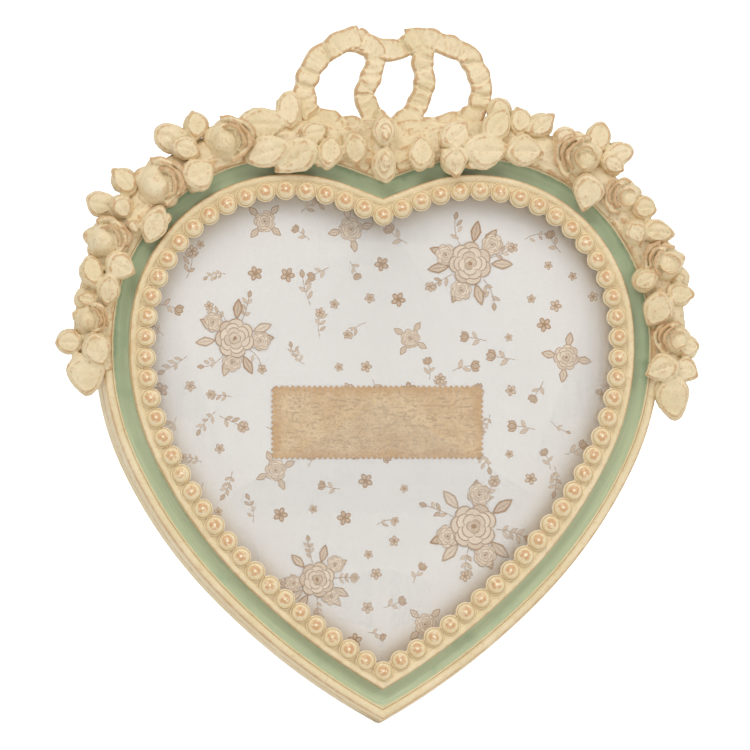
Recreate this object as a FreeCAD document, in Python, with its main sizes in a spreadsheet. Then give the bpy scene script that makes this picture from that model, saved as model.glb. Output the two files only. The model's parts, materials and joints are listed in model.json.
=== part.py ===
"""Heart shaped photo frame: a cast resin moulding with a rose garland and a bow, and an easel back.

Two local frames carry the parts. In the panel's frame u runs across, v up along the heart and w out
of its face, with the notch of the heart line at u = v = 0 and the back of the moulding at w = 0. The
strut's frame is the panel's, moved to the hinge pin and turned open. The panel leans back and stands
on the heart's tip, which rests at the origin, and on the foot of the strut. Sizes are millimetres and
degrees, and +Z is up.
"""

import FreeCAD
import Part
import Sketcher

import math
import os
from collections import namedtuple

from FreeCAD import Placement, Rotation, Vector

Stretch = namedtuple("Stretch", "start heading length radius centre")

# %% Driving sizes

DRIVING = [
    # The heart line is the seam between the green cove and the bead rim: a straight and four arcs a side.
    ("notch_slope", 21.2, "climb of the heart line beside its notch, degrees"),
    ("notch_straight", 9.95, "straight beside the notch"),
    ("lobe_radius", 42.5, "arc over the lobe"),
    ("lobe_turn", 102.7, "turn of that arc, degrees"),
    ("shoulder_radius", 66.1, "arc below the lobe"),
    ("shoulder_turn", 33.6, "turn of that arc, degrees"),
    ("flank_radius", 117.4, "arc along the flank"),
    ("flank_turn", 18.7, "turn of that arc, degrees"),
    ("lower_radius", 178.7, "arc down to the tip"),
    # Section of the moulding, outwards from the heart line.
    ("cove_width", 4.2, "width of the green cove"),
    ("cove_rise", 1.7, "climb of the cove from the bead rim to its outer edge"),
    ("cove_sag", 0.55, "hollow of the cove below its chord"),
    ("cove_skin", 1.4, "thickness of the green cove at the bead rim"),
    ("fillet_width", 0.5, "flat between the cove and the ridge"),
    ("ridge_radius", 1.15, "round ridge of the moulding"),
    ("ridge_level", 9.3, "height of the ridge's centre above the back"),
    ("wall_draft", 1.35, "spread of the side wall from ridge to back"),
    ("tip_flat_depth", 0.6, "material off the heart's tip where it stands"),
    # Bead rim, inwards from the heart line.
    ("ledge_width", 1.75, "flat ledge outside the beads"),
    ("ledge_step", 0.7, "drop from the ledge to the bead seat"),
    ("ledge_round", 0.5, "rounded outer edge of the ledge"),
    ("lip_thickness", 3.2, "resin between the glass and the bead seat"),
    ("lip_reach", 3.0, "cover of the rim over the glass"),
    ("rebate_inset", 2.3, "heart line to the side of the rebate"),
    ("bead_radius", 2.35, "bead"),
    ("bead_inset", 4.15, "heart line to the bead centres"),
    ("bead_lift", 0.4, "bead centre above its seat"),
    # Sheets in the rebate, from the front.
    ("glass_thickness", 2.0, "glass"),
    ("insert_thickness", 0.3, "printed insert"),
    ("card_thickness", 1.7, "filler card"),
    ("board_thickness", 2.5, "backboard"),
    ("velvet_thickness", 0.5, "flocked covering of backboard and strut"),
    ("sheet_play", 0.4, "gap between the sheets and the rebate"),
    # Stance.
    ("lean", 15.0, "lean of the panel from upright, degrees"),
    ("splay", 34.0, "opening of the strut at its ribbon's stop, degrees"),
    # Hinge of the strut.
    ("hinge_height", 106.0, "tip of the heart to the hinge pin, along the panel"),
    ("pin_standoff", 4.0, "hinge pin behind the velvet"),
    ("pin_radius", 1.0, "hinge pin"),
    ("pin_head_radius", 1.7, "riveted head of the pin"),
    ("pin_head_length", 0.7, "length of that head"),
    ("running_gap", 0.06, "radial play of pin and barrel"),
    ("side_gap", 0.25, "play beside the barrel and under the turn buttons"),
    ("barrel_radius", 1.9, "curled barrel of the hinge leaf"),
    ("barrel_length", 16.0, "length of the barrel"),
    ("steel_thickness", 0.8, "stamped hinge, strap and turn button sheet"),
    ("ear_radius", 2.4, "round end of a bracket ear"),
    ("bracket_width", 31.0, "base plate of the bracket, across"),
    ("bracket_height", 11.0, "base plate of the bracket, along the panel"),
    ("leaf_length", 24.0, "hinge leaf below the pin"),
    # Strut.
    ("strut_core_thickness", 2.0, "board inside the strut"),
    ("strut_top_gap", 2.9, "pin to the top edge of the strut"),
    ("strut_top_width", 20.0, "strut at its top"),
    ("strut_foot_width", 30.0, "strut at its foot, hidden behind the heart's tip from the front"),
    # Rivets and screws.
    ("rivet_radius", 0.9, "rivet shank"),
    ("rivet_head_radius", 1.8, "rivet head"),
    ("rivet_head_height", 0.6, "height of that head"),
    ("bracket_rivet_spacing", 24.0, "between the two rivets of the bracket"),
    ("leaf_rivet_first", 9.0, "pin to the first rivet of the leaf"),
    ("leaf_rivet_spacing", 10.0, "between the rivets of the leaf"),
    # Stay ribbon.
    ("ribbon_width", 10.0, "stay ribbon"),
    ("ribbon_thickness", 0.4, "stay ribbon"),
    ("ribbon_tab", 8.0, "glued and riveted end of the ribbon"),
    ("ribbon_board_drop", 61.0, "pin to the ribbon's fold on the backboard"),
    ("ribbon_strut_drop", 69.0, "pin to the ribbon's fold on the strut"),
    # Turn buttons.
    ("button_length", 15.0, "turn button, end to end"),
    ("button_width", 7.0, "turn button"),
    ("screw_reach", 3.0, "heart line to the screws of the turn buttons"),
    ("screw_radius", 1.1, "screw shank"),
    ("screw_head_radius", 2.2, "pan head"),
    ("screw_head_height", 1.1, "height of the pan head"),
    ("screw_depth", 5.0, "screw in the resin"),
    # Hanger.
    ("hanger_rise", 18.0, "hinge pin to the bar of the hanging ring"),
    ("ring_radius", 6.5, "hanging ring, to the middle of its wire"),
    ("ring_wire_radius", 0.6, "wire of the hanging ring"),
    ("strap_width", 8.0, "strap of the hanging ring"),
    ("strap_height", 7.0, "strap, from the bar up"),
    ("strap_barrel_radius", 1.4, "curled end of the strap"),
    ("strap_rivet_rise", 4.4, "bar of the ring to the strap's rivet"),
    # Garland and bow.
    ("garland_reach", 20.0, "unit for how far a leaf or rose lies from the heart line"),
    ("garland_rise", 4.0, "unit for how high it lies over the ridge"),
    ("garland_gap", 0.05, "garland to the widest part of the moulding"),
    ("garland_droop_share", 0.3, "fall of the garland for every millimetre past the moulding"),
    ("leaf_span", 11.2, "unit for the length of a garland leaf"),
    ("leaf_breadth", 8.2, "unit for the width of a garland leaf"),
    ("leaf_edge", 1.6, "edge of a leaf above the bank"),
    ("leaf_root", 6.0, "depth of a leaf below its edge"),
    ("leaf_crown", 1.5, "rise of a leaf to its middle"),
    ("leaf_dip", 14.0, "fall of a leaf towards its tip, degrees"),
    ("rose_radius", 5.8, "unit for the radius of a rose"),
    ("bed_width", 6.4, "bank of resin under the garland, across"),
    ("bed_back_level", 3.0, "bank of resin above the back of the moulding"),
    ("bow_half_width", 26.2, "bow, from its middle to a side"),
    ("bow_height", 26.6, "bow, from its knot to its top"),
    ("bow_knot_rise", 19.2, "notch to the knot"),
    ("bow_shift", 3.0, "middle of the bow beside the middle of the heart"),
    ("bow_back_level", 4.4, "back of the bow above the back of the moulding"),
    ("bow_thickness", 3.4, "loops of the bow"),
    ("sliver_volume", 1.5, "smallest piece of a leaf that is kept, cubic millimetres"),
    ("overrun", 10.0, "spare length of every cutting body"),
]

BEADS_PER_SIDE = 37
ROSE_PETALS = 5

DERIVED = [
    ("slope_sin", "=sin(notch_slope * 1deg)"),
    ("slope_cos", "=cos(notch_slope * 1deg)"),
    ("slope_tan", "=slope_sin / slope_cos"),
    ("lobe_heading", "=notch_slope - lobe_turn"),
    ("shoulder_heading", "=lobe_heading - shoulder_turn"),
    ("flank_heading", "=shoulder_heading - flank_turn"),
    ("lobe_u", "=notch_straight * slope_cos + lobe_radius * slope_sin"),
    ("lobe_v", "=notch_straight * slope_sin - lobe_radius * slope_cos"),
    ("shoulder_u", "=lobe_u + (shoulder_radius - lobe_radius) * sin(lobe_heading * 1deg)"),
    ("shoulder_v", "=lobe_v - (shoulder_radius - lobe_radius) * cos(lobe_heading * 1deg)"),
    ("flank_u", "=shoulder_u + (flank_radius - shoulder_radius) * sin(shoulder_heading * 1deg)"),
    ("flank_v", "=shoulder_v - (flank_radius - shoulder_radius) * cos(shoulder_heading * 1deg)"),
    ("lower_u", "=flank_u + (lower_radius - flank_radius) * sin(flank_heading * 1deg)"),
    ("lower_v", "=flank_v - (lower_radius - flank_radius) * cos(flank_heading * 1deg)"),
    ("ridge_reach", "=cove_width + fillet_width + ridge_radius"),
    ("wall_reach", "=ridge_reach + ridge_radius + wall_draft"),
    ("ridge_top", "=ridge_level + ridge_radius"),
    ("cove_level", "=ridge_level - cove_rise"),
    ("cove_floor", "=cove_level - cove_skin"),
    ("rebate_depth", "=glass_thickness + insert_thickness + card_thickness + board_thickness"
                     " + velvet_thickness"),
    ("bead_seat", "=rebate_depth + lip_thickness"),
    ("ledge_level", "=bead_seat + ledge_step"),
    ("sight_inset", "=rebate_inset + lip_reach"),
    ("sheet_inset", "=rebate_inset + sheet_play"),
    ("glass_back", "=rebate_depth - glass_thickness"),
    ("insert_back", "=glass_back - insert_thickness"),
    ("card_back", "=insert_back - card_thickness"),
    ("board_back", "=card_back - board_thickness"),
    ("tip_level", "=lower_v - sqrt((lower_radius + wall_reach)^2 - lower_u^2)"),
    ("panel_turn", "=90 - lean"),
    ("panel_y", "=-tip_level * sin(lean * 1deg)"),
    ("panel_z", "=-tip_level * cos(lean * 1deg) - tip_flat_depth"),
    ("pin_v", "=tip_level + hinge_height"),
    ("pin_y", "=panel_y + pin_v * sin(lean * 1deg) + pin_standoff * cos(lean * 1deg)"),
    ("pin_z", "=panel_z + pin_v * cos(lean * 1deg) - pin_standoff * sin(lean * 1deg)"),
    ("strut_turn", "=panel_turn + splay"),
    ("strut_foot", "=pin_z / cos((splay - lean) * 1deg)"),
    ("splay_sin", "=sin(splay * 1deg)"),
    ("splay_cos", "=cos(splay * 1deg)"),
    ("leaf_back", "=-barrel_radius"),
    ("strut_back", "=leaf_back + steel_thickness"),
    ("strut_core_back", "=strut_back + velvet_thickness"),
    ("strut_core_front", "=strut_core_back + strut_core_thickness"),
    ("strut_front", "=strut_core_front + velvet_thickness"),
    ("ear_inside", "=barrel_length / 2 + side_gap"),
    ("ear_outside", "=ear_inside + steel_thickness"),
    ("hanger_v", "=pin_v + hanger_rise"),
    ("hanger_y", "=panel_y + hanger_v * sin(lean * 1deg) + strap_barrel_radius * cos(lean * 1deg)"),
    ("hanger_z", "=panel_z + hanger_v * cos(lean * 1deg) - strap_barrel_radius * sin(lean * 1deg)"),
    ("garland_seat", "=wall_reach + garland_gap"),
    ("bed_reach", "=garland_seat + bed_width"),
]

# %% Where the ornament lies

# A rose is its place along the heart line from notch to tip, its reach, its radius and its rise, as
# shares of the heart line, garland_reach, rose_radius and garland_rise.
ROSE_SHARES = {
    "rose_left_1": (0.183, 0.56, 0.98, 0.55),
    "rose_left_2": (0.264, 0.52, 1.02, 0.60),
    "rose_left_3": (0.339, 0.62, 0.88, 0.50),
    "rose_left_4": (0.419, 0.54, 0.68, 0.40),
    "rose_right_1": (0.226, 0.62, 0.98, 0.60),
    "rose_right_2": (0.284, 0.58, 0.77, 0.45),
    "rose_right_3": (0.361, 0.59, 0.86, 0.50),
    "rose_right_4": (0.439, 0.52, 0.77, 0.40),
}

# A leaf, petal or bud is its place, its reach, its pointing (degrees from straight out, towards the
# tip of the heart), its length, its width and its rise, as shares of the heart line, garland_reach,
# leaf_span, leaf_breadth and garland_rise.
LEAF_SHARES = {
    "leaves_left_4": [
        (0.476, 0.59, 75, 1.02, 1.23, 0.10),
        (0.443, 0.79, 0, 0.64, 0.80, 0.15),
        (0.452, 0.44, 110, 0.78, 0.91, 0.45),
    ],
    "leaves_left_3": [
        (0.399, 0.61, 0, 0.48, 0.53, 0.15),
        (0.386, 0.37, 98, 0.78, 0.73, 0.30),
        (0.371, 0.64, -62, 0.76, 0.73, 0.45),
        (0.358, 0.31, 170, 0.72, 0.91, 0.40),
    ],
    "leaves_left_2": [
        (0.313, 0.41, 154, 0.38, 0.40, 0.20),
        (0.300, 0.20, 108, 0.88, 0.84, 0.35),
        (0.313, 0.92, 25, 0.72, 0.84, 0.15),
        (0.305, 0.68, 157, 0.55, 0.69, 0.60),
        (0.284, 0.87, -7, 0.78, 0.76, 0.15),
    ],
    "leaves_left_1": [
        (0.224, 0.32, -90, 0.83, 1.03, 0.40),
        (0.229, 0.91, 34, 0.88, 0.96, 0.15),
        (0.204, 0.91, -19, 0.70, 0.76, 0.20),
        (0.223, 0.70, -140, 0.70, 0.76, 0.60),
    ],
    "leaves_centre_left": [
        (0.148, 0.31, 102, 1.07, 1.03, 0.40),
        (0.146, 0.68, -97, 1.12, 1.10, 0.30),
        (0.116, 0.22, 126, 1.12, 1.03, 0.50),
        (0.121, 0.86, 0, 0.92, 0.80, 0.10),
        (0.097, 0.56, -73, 0.66, 0.73, 0.35),
        (0.079, 0.35, 2, 0.76, 0.80, 0.50),
        (0.054, 0.47, -151, 0.76, 0.80, 0.35),
    ],
    "leaves_centre_right": [
        (0.061, 0.40, 17, 0.80, 0.84, 0.35),
        (0.100, 0.53, 56, 0.76, 0.91, 0.50),
        (0.094, 0.18, -173, 0.74, 0.80, 0.60),
        (0.132, 0.31, 86, 1.12, 1.11, 0.45),
        (0.140, 0.67, 34, 0.90, 0.91, 0.45),
        (0.143, 0.88, -17, 0.60, 0.66, 0.15),
    ],
    "leaves_right_1": [
        (0.172, 0.40, 75, 0.88, 1.03, 0.35),
        (0.162, 0.78, -12, 0.66, 0.76, 0.25),
        (0.182, 0.80, 37, 0.80, 0.66, 0.25),
        (0.207, 0.75, -65, 0.58, 0.70, 0.35),
        (0.233, 1.00, -17, 0.76, 0.80, 0.15),
        (0.255, 0.97, 36, 0.80, 0.73, 0.15),
        (0.256, 0.80, 81, 0.60, 0.61, 0.35),
        (0.254, 0.28, 147, 0.84, 0.99, 0.45),
    ],
    "leaves_right_2": [
        (0.305, 0.70, 37, 0.62, 0.76, 0.30),
        (0.331, 0.68, 34, 0.84, 0.76, 0.20),
        (0.320, 0.41, 92, 0.55, 0.69, 0.45),
    ],
    "leaves_right_3": [
        (0.371, 0.25, 168, 0.63, 0.69, 0.45),
        (0.394, 0.68, 21, 0.70, 0.73, 0.20),
        (0.379, 0.71, 5, 0.32, 0.34, 0.20),
        (0.406, 0.33, 118, 0.86, 0.96, 0.35),
    ],
    "leaves_right_4": [
        (0.448, 0.71, 0, 0.60, 0.66, 0.20),
        (0.472, 0.35, 156, 0.80, 0.91, 0.45),
        (0.471, 0.69, 6, 0.70, 0.80, 0.25),
        (0.502, 0.56, 75, 1.07, 1.11, 0.15),
    ],
}

# The side of each bank and the share of the heart line where it ends.
BED_SHARES = {
    "garland_bed_left": (-1, 0.475),
    "garland_bed_right": (1, 0.495),
}

# The two buds over the notch are their height over it and their rise, length and width.
BUD_SHARES = [
    (0.92, 0.75, 0.83, 0.87),
    (0.42, 0.55, 0.91, 1.03),
]

# Outlines of the bow as shares of bow_half_width across and of bow_height up from the knot.
BOW_SHARES = [
    (-0.93, -0.03), (-0.97, 0.17), (-0.98, 0.35), (-1.00, 0.49), (-0.95, 0.60), (-0.81, 0.75),
    (-0.57, 0.93), (-0.42, 0.99), (-0.28, 0.96), (-0.17, 0.89), (0.00, 0.88), (0.12, 0.95),
    (0.21, 1.00), (0.32, 0.99), (0.41, 0.93), (0.54, 0.92), (0.71, 0.86), (0.84, 0.78), (0.93, 0.63),
    (1.00, 0.46), (0.99, 0.32), (0.98, 0.15), (0.91, -0.03), (0.50, -0.30), (0.00, -0.40),
    (-0.50, -0.34),
]
BOW_HOLE_SHARES = [
    [(-0.28, 0.71), (-0.35, 0.75), (-0.42, 0.74), (-0.55, 0.69), (-0.66, 0.60), (-0.72, 0.50),
     (-0.73, 0.38), (-0.77, 0.26), (-0.76, 0.19), (-0.60, 0.12), (-0.46, 0.07), (-0.35, 0.06),
     (-0.33, 0.14), (-0.40, 0.31), (-0.33, 0.49), (-0.27, 0.65)],
    [(0.08, 0.66), (-0.07, 0.56), (-0.15, 0.43), (-0.17, 0.32), (-0.14, 0.21), (-0.07, 0.12),
     (0.03, 0.08), (0.12, 0.13), (0.19, 0.26), (0.23, 0.41), (0.22, 0.53), (0.16, 0.62)],
    [(0.37, 0.69), (0.46, 0.73), (0.58, 0.70), (0.71, 0.63), (0.79, 0.49), (0.80, 0.29),
     (0.71, 0.18), (0.54, 0.08), (0.41, 0.06), (0.37, 0.10), (0.41, 0.25), (0.45, 0.43), (0.39, 0.62)],
]
BOW_SPLIT_SHARE = 0.05
BOW_KNOT_SHARE = 0.12

BUTTON_SHARES = {
    "turn_button_left_upper": (-1, 0.20),
    "turn_button_right_upper": (1, 0.20),
    "turn_button_left_lower": (-1, 0.66),
    "turn_button_right_lower": (1, 0.66),
}

# %% The document and its sheet of sizes

doc = FreeCAD.newDocument("heart_photo_frame")
sheet = doc.addObject("Spreadsheet::Sheet", "Sizes")
for row, (alias, value, meaning) in enumerate(DRIVING, start=1):
    sheet.set(f"A{row}", meaning)
    sheet.set(f"B{row}", str(value))
    sheet.setAlias(f"B{row}", alias)
for row, (alias, formula) in enumerate(DERIVED, start=len(DRIVING) + 1):
    sheet.set(f"A{row}", "derived")
    sheet.set(f"B{row}", formula)
    sheet.setAlias(f"B{row}", alias)
doc.recompute()

subparts = []


def size(alias):
    """A size from the sheet."""
    return float(sheet.get(alias))


def value(expression):
    """What an expression over the sheet gives."""
    return float(sheet.evalExpression(expression))


def bind(thing, **expressions):
    """Bind properties of an object to expressions over the sheet."""
    for name, expression in expressions.items():
        thing.setExpression(name.replace("__", "."), expression)


FRAMES = {
    "panel": ("Sizes.panel_turn", "Sizes.panel_y", "Sizes.panel_z"),
    "strut": ("Sizes.strut_turn", "Sizes.pin_y", "Sizes.pin_z"),
    "ring": ("90", "Sizes.hanger_y", "Sizes.hanger_z"),
}


def place(thing, frame):
    """Bind an object's placement to the panel's, the strut's or the hanging ring's frame."""
    turn, base_y, base_z = FRAMES[frame]
    thing.Placement = Placement(Vector(), Rotation(Vector(1, 0, 0), 1))
    thing.setExpression("Placement.Rotation.Angle", turn)
    thing.setExpression("Placement.Base.y", base_y)
    thing.setExpression("Placement.Base.z", base_z)
    return thing


def finish(thing, label):
    """Name a sub-part and keep it for the files."""
    thing.Label = label
    subparts.append(thing)
    return thing


# %% The heart line


def unit(heading):
    """Along the heart line and out of it, where the line has a heading."""
    along = Vector(math.cos(heading), math.sin(heading), 0)
    outward = Vector(-math.sin(heading), math.cos(heading), 0)
    return along, outward


def heart_stretches():
    """The right half of the heart line from notch to tip, as one straight and four arcs."""
    heading = math.radians(size("notch_slope"))
    straight = size("notch_straight")
    stretches = [Stretch(Vector(), heading, straight, None, None)]
    start = unit(heading)[0] * straight
    for name in ("lobe", "shoulder", "flank", "lower"):
        radius = size(f"{name}_radius")
        centre = Vector(size(f"{name}_u"), size(f"{name}_v"), 0)
        if name == "lower":
            turn = heading - tip_heading(centre, radius)
        else:
            turn = math.radians(size(f"{name}_turn"))
        stretches.append(Stretch(start, heading, radius * turn, radius, centre))
        heading = heading - turn
        start = centre + unit(heading)[1] * radius
    return stretches


def tip_heading(centre, radius):
    """Heading of the lowest arc, or of its parallel, where it meets the middle of the heart."""
    return -math.pi - math.asin(centre.x / radius)


def heart_length():
    """Half the heart line, from notch to tip."""
    return sum(stretch.length for stretch in heart_stretches())


def heart_place(share, reach, side=1):
    """The point at a share of the heart line and a reach outside it, and the outward direction."""
    along = share * heart_length()
    for stretch in heart_stretches():
        if along <= stretch.length:
            break
        along = along - stretch.length
    if stretch.radius is None:
        outward = unit(stretch.heading)[1]
        point = unit(stretch.heading)[0] * along
    else:
        outward = unit(stretch.heading - along / stretch.radius)[1]
        point = stretch.centre + outward * stretch.radius
    point = point + outward * reach
    return Vector(side * point.x, point.y, 0), Vector(side * outward.x, outward.y, 0)


def parallel(reach):
    """The right half of the heart line's parallel at a reach: its straight's ends and its arcs.

    An arc is its centre, its radius and the headings of its two ends.
    """
    first = heart_stretches()[0]
    along, outward = unit(first.heading)
    notch = Vector(0, reach / size("slope_cos"), 0)
    corner = along * first.length + outward * reach
    arcs = []
    for stretch in heart_stretches()[1:]:
        radius = stretch.radius + reach
        last = stretch.heading - stretch.length / stretch.radius
        arcs.append([stretch.centre, radius, stretch.heading, last])
    arcs[-1][3] = tip_heading(*arcs[-1][:2])
    return notch, corner, arcs


def half_edges(reach):
    """Edges of the right half of the heart line's parallel at a reach, from notch to tip."""
    notch, corner, arcs = parallel(reach)
    edges = [Part.LineSegment(notch, corner).toShape()]
    for centre, radius, first, last in arcs:
        points = [centre + unit(turned)[1] * radius for turned in (first, (first + last) / 2, last)]
        edges.append(Part.Arc(*points).toShape())
    return edges


def heart_plate(reach, low, high):
    """A solid heart plate between two levels, its outline parallel to the heart line."""
    half = Part.Wire(half_edges(reach))
    other = half.mirror(Vector(), Vector(1, 0, 0))
    outline = Part.Wire(half.Edges + other.Edges)
    plate = Part.Face(outline).extrude(Vector(0, 0, high - low))
    plate.translate(Vector(0, 0, low))
    return plate


# %% Sections swept along the heart line


def section(points, start, outward):
    """A face across the heart line: points are (reach, level), and one with four numbers ends an arc."""

    def at(reach, level):
        return start + outward * reach + Vector(0, 0, level)

    edges = []
    last = at(*points[0][:2])
    for point in points[1:] + points[:1]:
        end = at(*point[-2:])
        if len(point) == 4:
            edges.append(Part.Arc(last, at(*point[:2]), end).toShape())
        else:
            edges.append(Part.LineSegment(last, end).toShape())
        last = end
    return Part.Face(Part.Wire(edges))


def sweep(points, first_share, last_share):
    """Solids of a section carried along the right half of the heart line between two shares."""
    low = first_share * heart_length()
    high = last_share * heart_length()
    spare = size("overrun")
    solids = []
    passed = 0
    stretches = heart_stretches()
    for stretch in stretches:
        begin = max(low - passed, 0)
        end = min(high - passed, stretch.length)
        if stretch is stretches[0] and first_share == 0:
            begin = -spare
        if stretch is stretches[-1] and last_share == 1:
            end = stretch.length + 2 * spare
        passed = passed + stretch.length
        if end <= begin:
            continue
        along, outward = unit(stretch.heading)
        if stretch.radius is None:
            face = section(points, stretch.start + along * begin, outward)
            solids.append(face.extrude(along * (end - begin)))
        else:
            face = section(points, stretch.start, outward)
            face.rotate(stretch.centre, Vector(0, 0, 1), -math.degrees(begin / stretch.radius))
            turn = -math.degrees((end - begin) / stretch.radius)
            solids.append(face.revolve(stretch.centre, Vector(0, 0, 1), turn))
    return solids


def ring(points):
    """A section carried all round the heart, mitred at its notch and its tip."""
    solids = sweep(points, 0, 1)
    span = 2 * size("lobe_radius") + 2 * size("lower_radius")
    right = Part.makeBox(span, 2 * span, span, Vector(0, -span, -span / 2))
    half = solids[0].multiFuse(solids[1:]).removeSplitter().common(right)
    whole = half.fuse(half.mirror(Vector(), Vector(1, 0, 0))).removeSplitter()
    return whole.Solids[0]


def moulding_section():
    """Side wall, ridge and fillet, with the cove's bed and the side of the rebate."""
    reach = size("ridge_reach")
    radius = size("ridge_radius")
    level = size("ridge_level")
    return [
        (-size("rebate_inset"), 0),
        (size("wall_reach"), 0),
        (reach + radius, level),
        (reach, level + radius, reach - radius, level),
        (size("cove_width"), level),
        (size("cove_width"), size("cove_floor")),
        (-size("rebate_inset"), size("cove_floor")),
    ]


def cove_section():
    """The green cove, hollow between the bead rim and the fillet."""
    width = size("cove_width")
    low = size("cove_level")
    high = size("ridge_level")
    return [
        (0, size("cove_floor")),
        (width, size("cove_floor")),
        (width, high),
        (width / 2, (low + high) / 2 - size("cove_sag"), 0, low),
    ]


def rim_section():
    """The ledge, the bead seat and the lip over the glass."""
    rounding = size("ledge_round")
    ledge = size("ledge_level")
    corner = rounding * (1 - math.sqrt(0.5))
    return [
        (-size("rebate_inset"), size("cove_floor")),
        (0, size("cove_floor")),
        (0, ledge - rounding),
        (-corner, ledge - corner, -rounding, ledge),
        (-size("ledge_width"), ledge),
        (-size("ledge_width"), size("bead_seat")),
        (-size("sight_inset"), size("bead_seat")),
        (-size("sight_inset"), size("rebate_depth")),
        (-size("rebate_inset"), size("rebate_depth")),
    ]


# %% Small builders


def feature(label, shape, frame="panel"):
    """A sub-part whose shape is made from the sheet's sizes."""
    thing = doc.addObject("Part::Feature", label)
    thing.Shape = shape
    return finish(place(thing, frame), label)


def origin_plane(body, role):
    """One of a body's own origin planes."""
    return next(plane for plane in body.Origin.OriginFeatures if plane.Role == role)


def sketch_on(body, name, role="XY_Plane", level=None):
    """An empty sketch on an origin plane, raised to a level."""
    sketch = body.newObject("Sketcher::SketchObject", name)
    sketch.AttachmentSupport = [(origin_plane(body, role), "")]
    sketch.MapMode = "FlatFace"
    if level:
        sketch.setExpression("AttachmentOffset.Base.z", level)
    return sketch


def constrain(sketch, *parts, expression=None):
    """Add a constraint and bind its value."""
    if expression is None:
        return sketch.addConstraint(Sketcher.Constraint(*parts))
    index = sketch.addConstraint(Sketcher.Constraint(*parts, value(expression)))
    sketch.setExpression(f"Constraints[{index}]", expression)
    return index


def polygon(sketch, corners):
    """A closed polygon whose corners are pairs of expressions."""
    places = [Vector(value(across), value(up), 0) for across, up in corners]
    count = len(places)
    for index in range(count):
        sketch.addGeometry(Part.LineSegment(places[index], places[(index + 1) % count]))
    for index in range(count):
        constrain(sketch, "Coincident", index, 2, (index + 1) % count, 1)
    for index, (across, up) in enumerate(corners):
        constrain(sketch, "DistanceX", -1, 1, index, 1, expression=across)
        constrain(sketch, "DistanceY", -1, 1, index, 1, expression=up)


def circles(sketch, holes):
    """Circles given as expressions of centre and radius."""
    for across, up, radius in holes:
        place = Vector(value(across), value(up), 0)
        index = sketch.addGeometry(Part.Circle(place, Vector(0, 0, 1), value(radius)))
        constrain(sketch, "DistanceX", -1, 1, index, 3, expression=across)
        constrain(sketch, "DistanceY", -1, 1, index, 3, expression=up)
        constrain(sketch, "Radius", index, expression=radius)


def pad(body, sketch, length, both_ways=False):
    """Pad a sketch by an expression."""
    thing = body.newObject("PartDesign::Pad", "Pad")
    thing.Profile = sketch
    thing.SideType = "Symmetric" if both_ways else "One side"
    bind(thing, Length=length)
    sketch.Visibility = False
    return thing


def drill(body, holes, role="XY_Plane"):
    """Cut round holes right through a body, along the normal of an origin plane."""
    sketch = sketch_on(body, "HoleSketch", role)
    circles(sketch, holes)
    pocket = body.newObject("PartDesign::Pocket", "Holes")
    pocket.Profile = sketch
    pocket.Type = "ThroughAll"
    pocket.SideType = "Symmetric"
    return pocket


def heart_outline(sketch, reach):
    """The heart line's parallel at a reach: the joints of its straights and arcs, and their radii."""

    def joint(name, heading):
        wide = f"(Sizes.{name}_radius + ({reach}))"
        across = f"Sizes.{name}_u - {wide} * sin(Sizes.{heading} * 1deg)"
        up = f"Sizes.{name}_v + {wide} * cos(Sizes.{heading} * 1deg)"
        return across, up

    tip = f"Sizes.lower_v - sqrt((Sizes.lower_radius + ({reach}))^2 - Sizes.lower_u^2)"
    right = [
        joint("lobe", "notch_slope"),
        joint("lobe", "lobe_heading"),
        joint("shoulder", "shoulder_heading"),
        joint("flank", "flank_heading"),
    ]
    left = [(f"-({across})", up) for across, up in reversed(right)]
    joints = [("0", f"({reach}) / Sizes.slope_cos"), *right, ("0", tip), *left]
    places = [Vector(value(across), value(up), 0) for across, up in joints]
    arcs = ["lobe", "shoulder", "flank", "lower"]
    runs = ["straight", *arcs, *reversed(arcs), "straight"]
    count = len(joints)
    for index, name in enumerate(runs):
        start = places[index]
        end = places[(index + 1) % count]
        if name == "straight":
            sketch.addGeometry(Part.LineSegment(start, end))
            continue
        side = 1 if index < count / 2 else -1
        centre = Vector(side * size(f"{name}_u"), size(f"{name}_v"), 0)
        circle = Part.Circle(centre, Vector(0, 0, 1), size(f"{name}_radius") + value(reach))
        sketch.addGeometry(Part.ArcOfCircle(circle, circle.parameter(end), circle.parameter(start)))
        constrain(sketch, "Radius", index, expression=f"Sizes.{name}_radius + ({reach})")
    first = [1 if name == "straight" else 2 for name in runs]
    last = [2 if name == "straight" else 1 for name in runs]
    for index, (across, up) in enumerate(joints):
        before = (index - 1) % count
        constrain(sketch, "Coincident", before, last[before], index, first[index])
        constrain(sketch, "DistanceX", -1, 1, index, first[index], expression=across)
        constrain(sketch, "DistanceY", -1, 1, index, first[index], expression=up)


def cylinder(name, radius, length, base, axis=Vector(0, 0, 1)):
    """A cylinder bound to the sheet: expressions for radius, length and the three coordinates of its foot."""
    thing = doc.addObject("Part::Cylinder", name)
    thing.Placement = Placement(Vector(), Rotation(Vector(0, 0, 1), axis))
    bind(thing, Radius=radius, Height=length)
    bind(thing, Placement__Base__x=base[0], Placement__Base__y=base[1], Placement__Base__z=base[2])
    return thing


def box(name, lengths, base):
    """A box bound to the sheet, by expressions for its lengths and its low corner."""
    thing = doc.addObject("Part::Box", name)
    bind(thing, Length=lengths[0], Width=lengths[1], Height=lengths[2])
    bind(thing, Placement__Base__x=base[0], Placement__Base__y=base[1], Placement__Base__z=base[2])
    return thing


def joined(name, things):
    """Several solids fused."""
    thing = doc.addObject("Part::MultiFuse", name)
    thing.Shapes = things
    thing.Refine = True
    return thing


def cut(name, body, tool):
    """One solid less another."""
    thing = doc.addObject("Part::Cut", name)
    thing.Base = body
    thing.Tool = tool
    return thing


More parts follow.
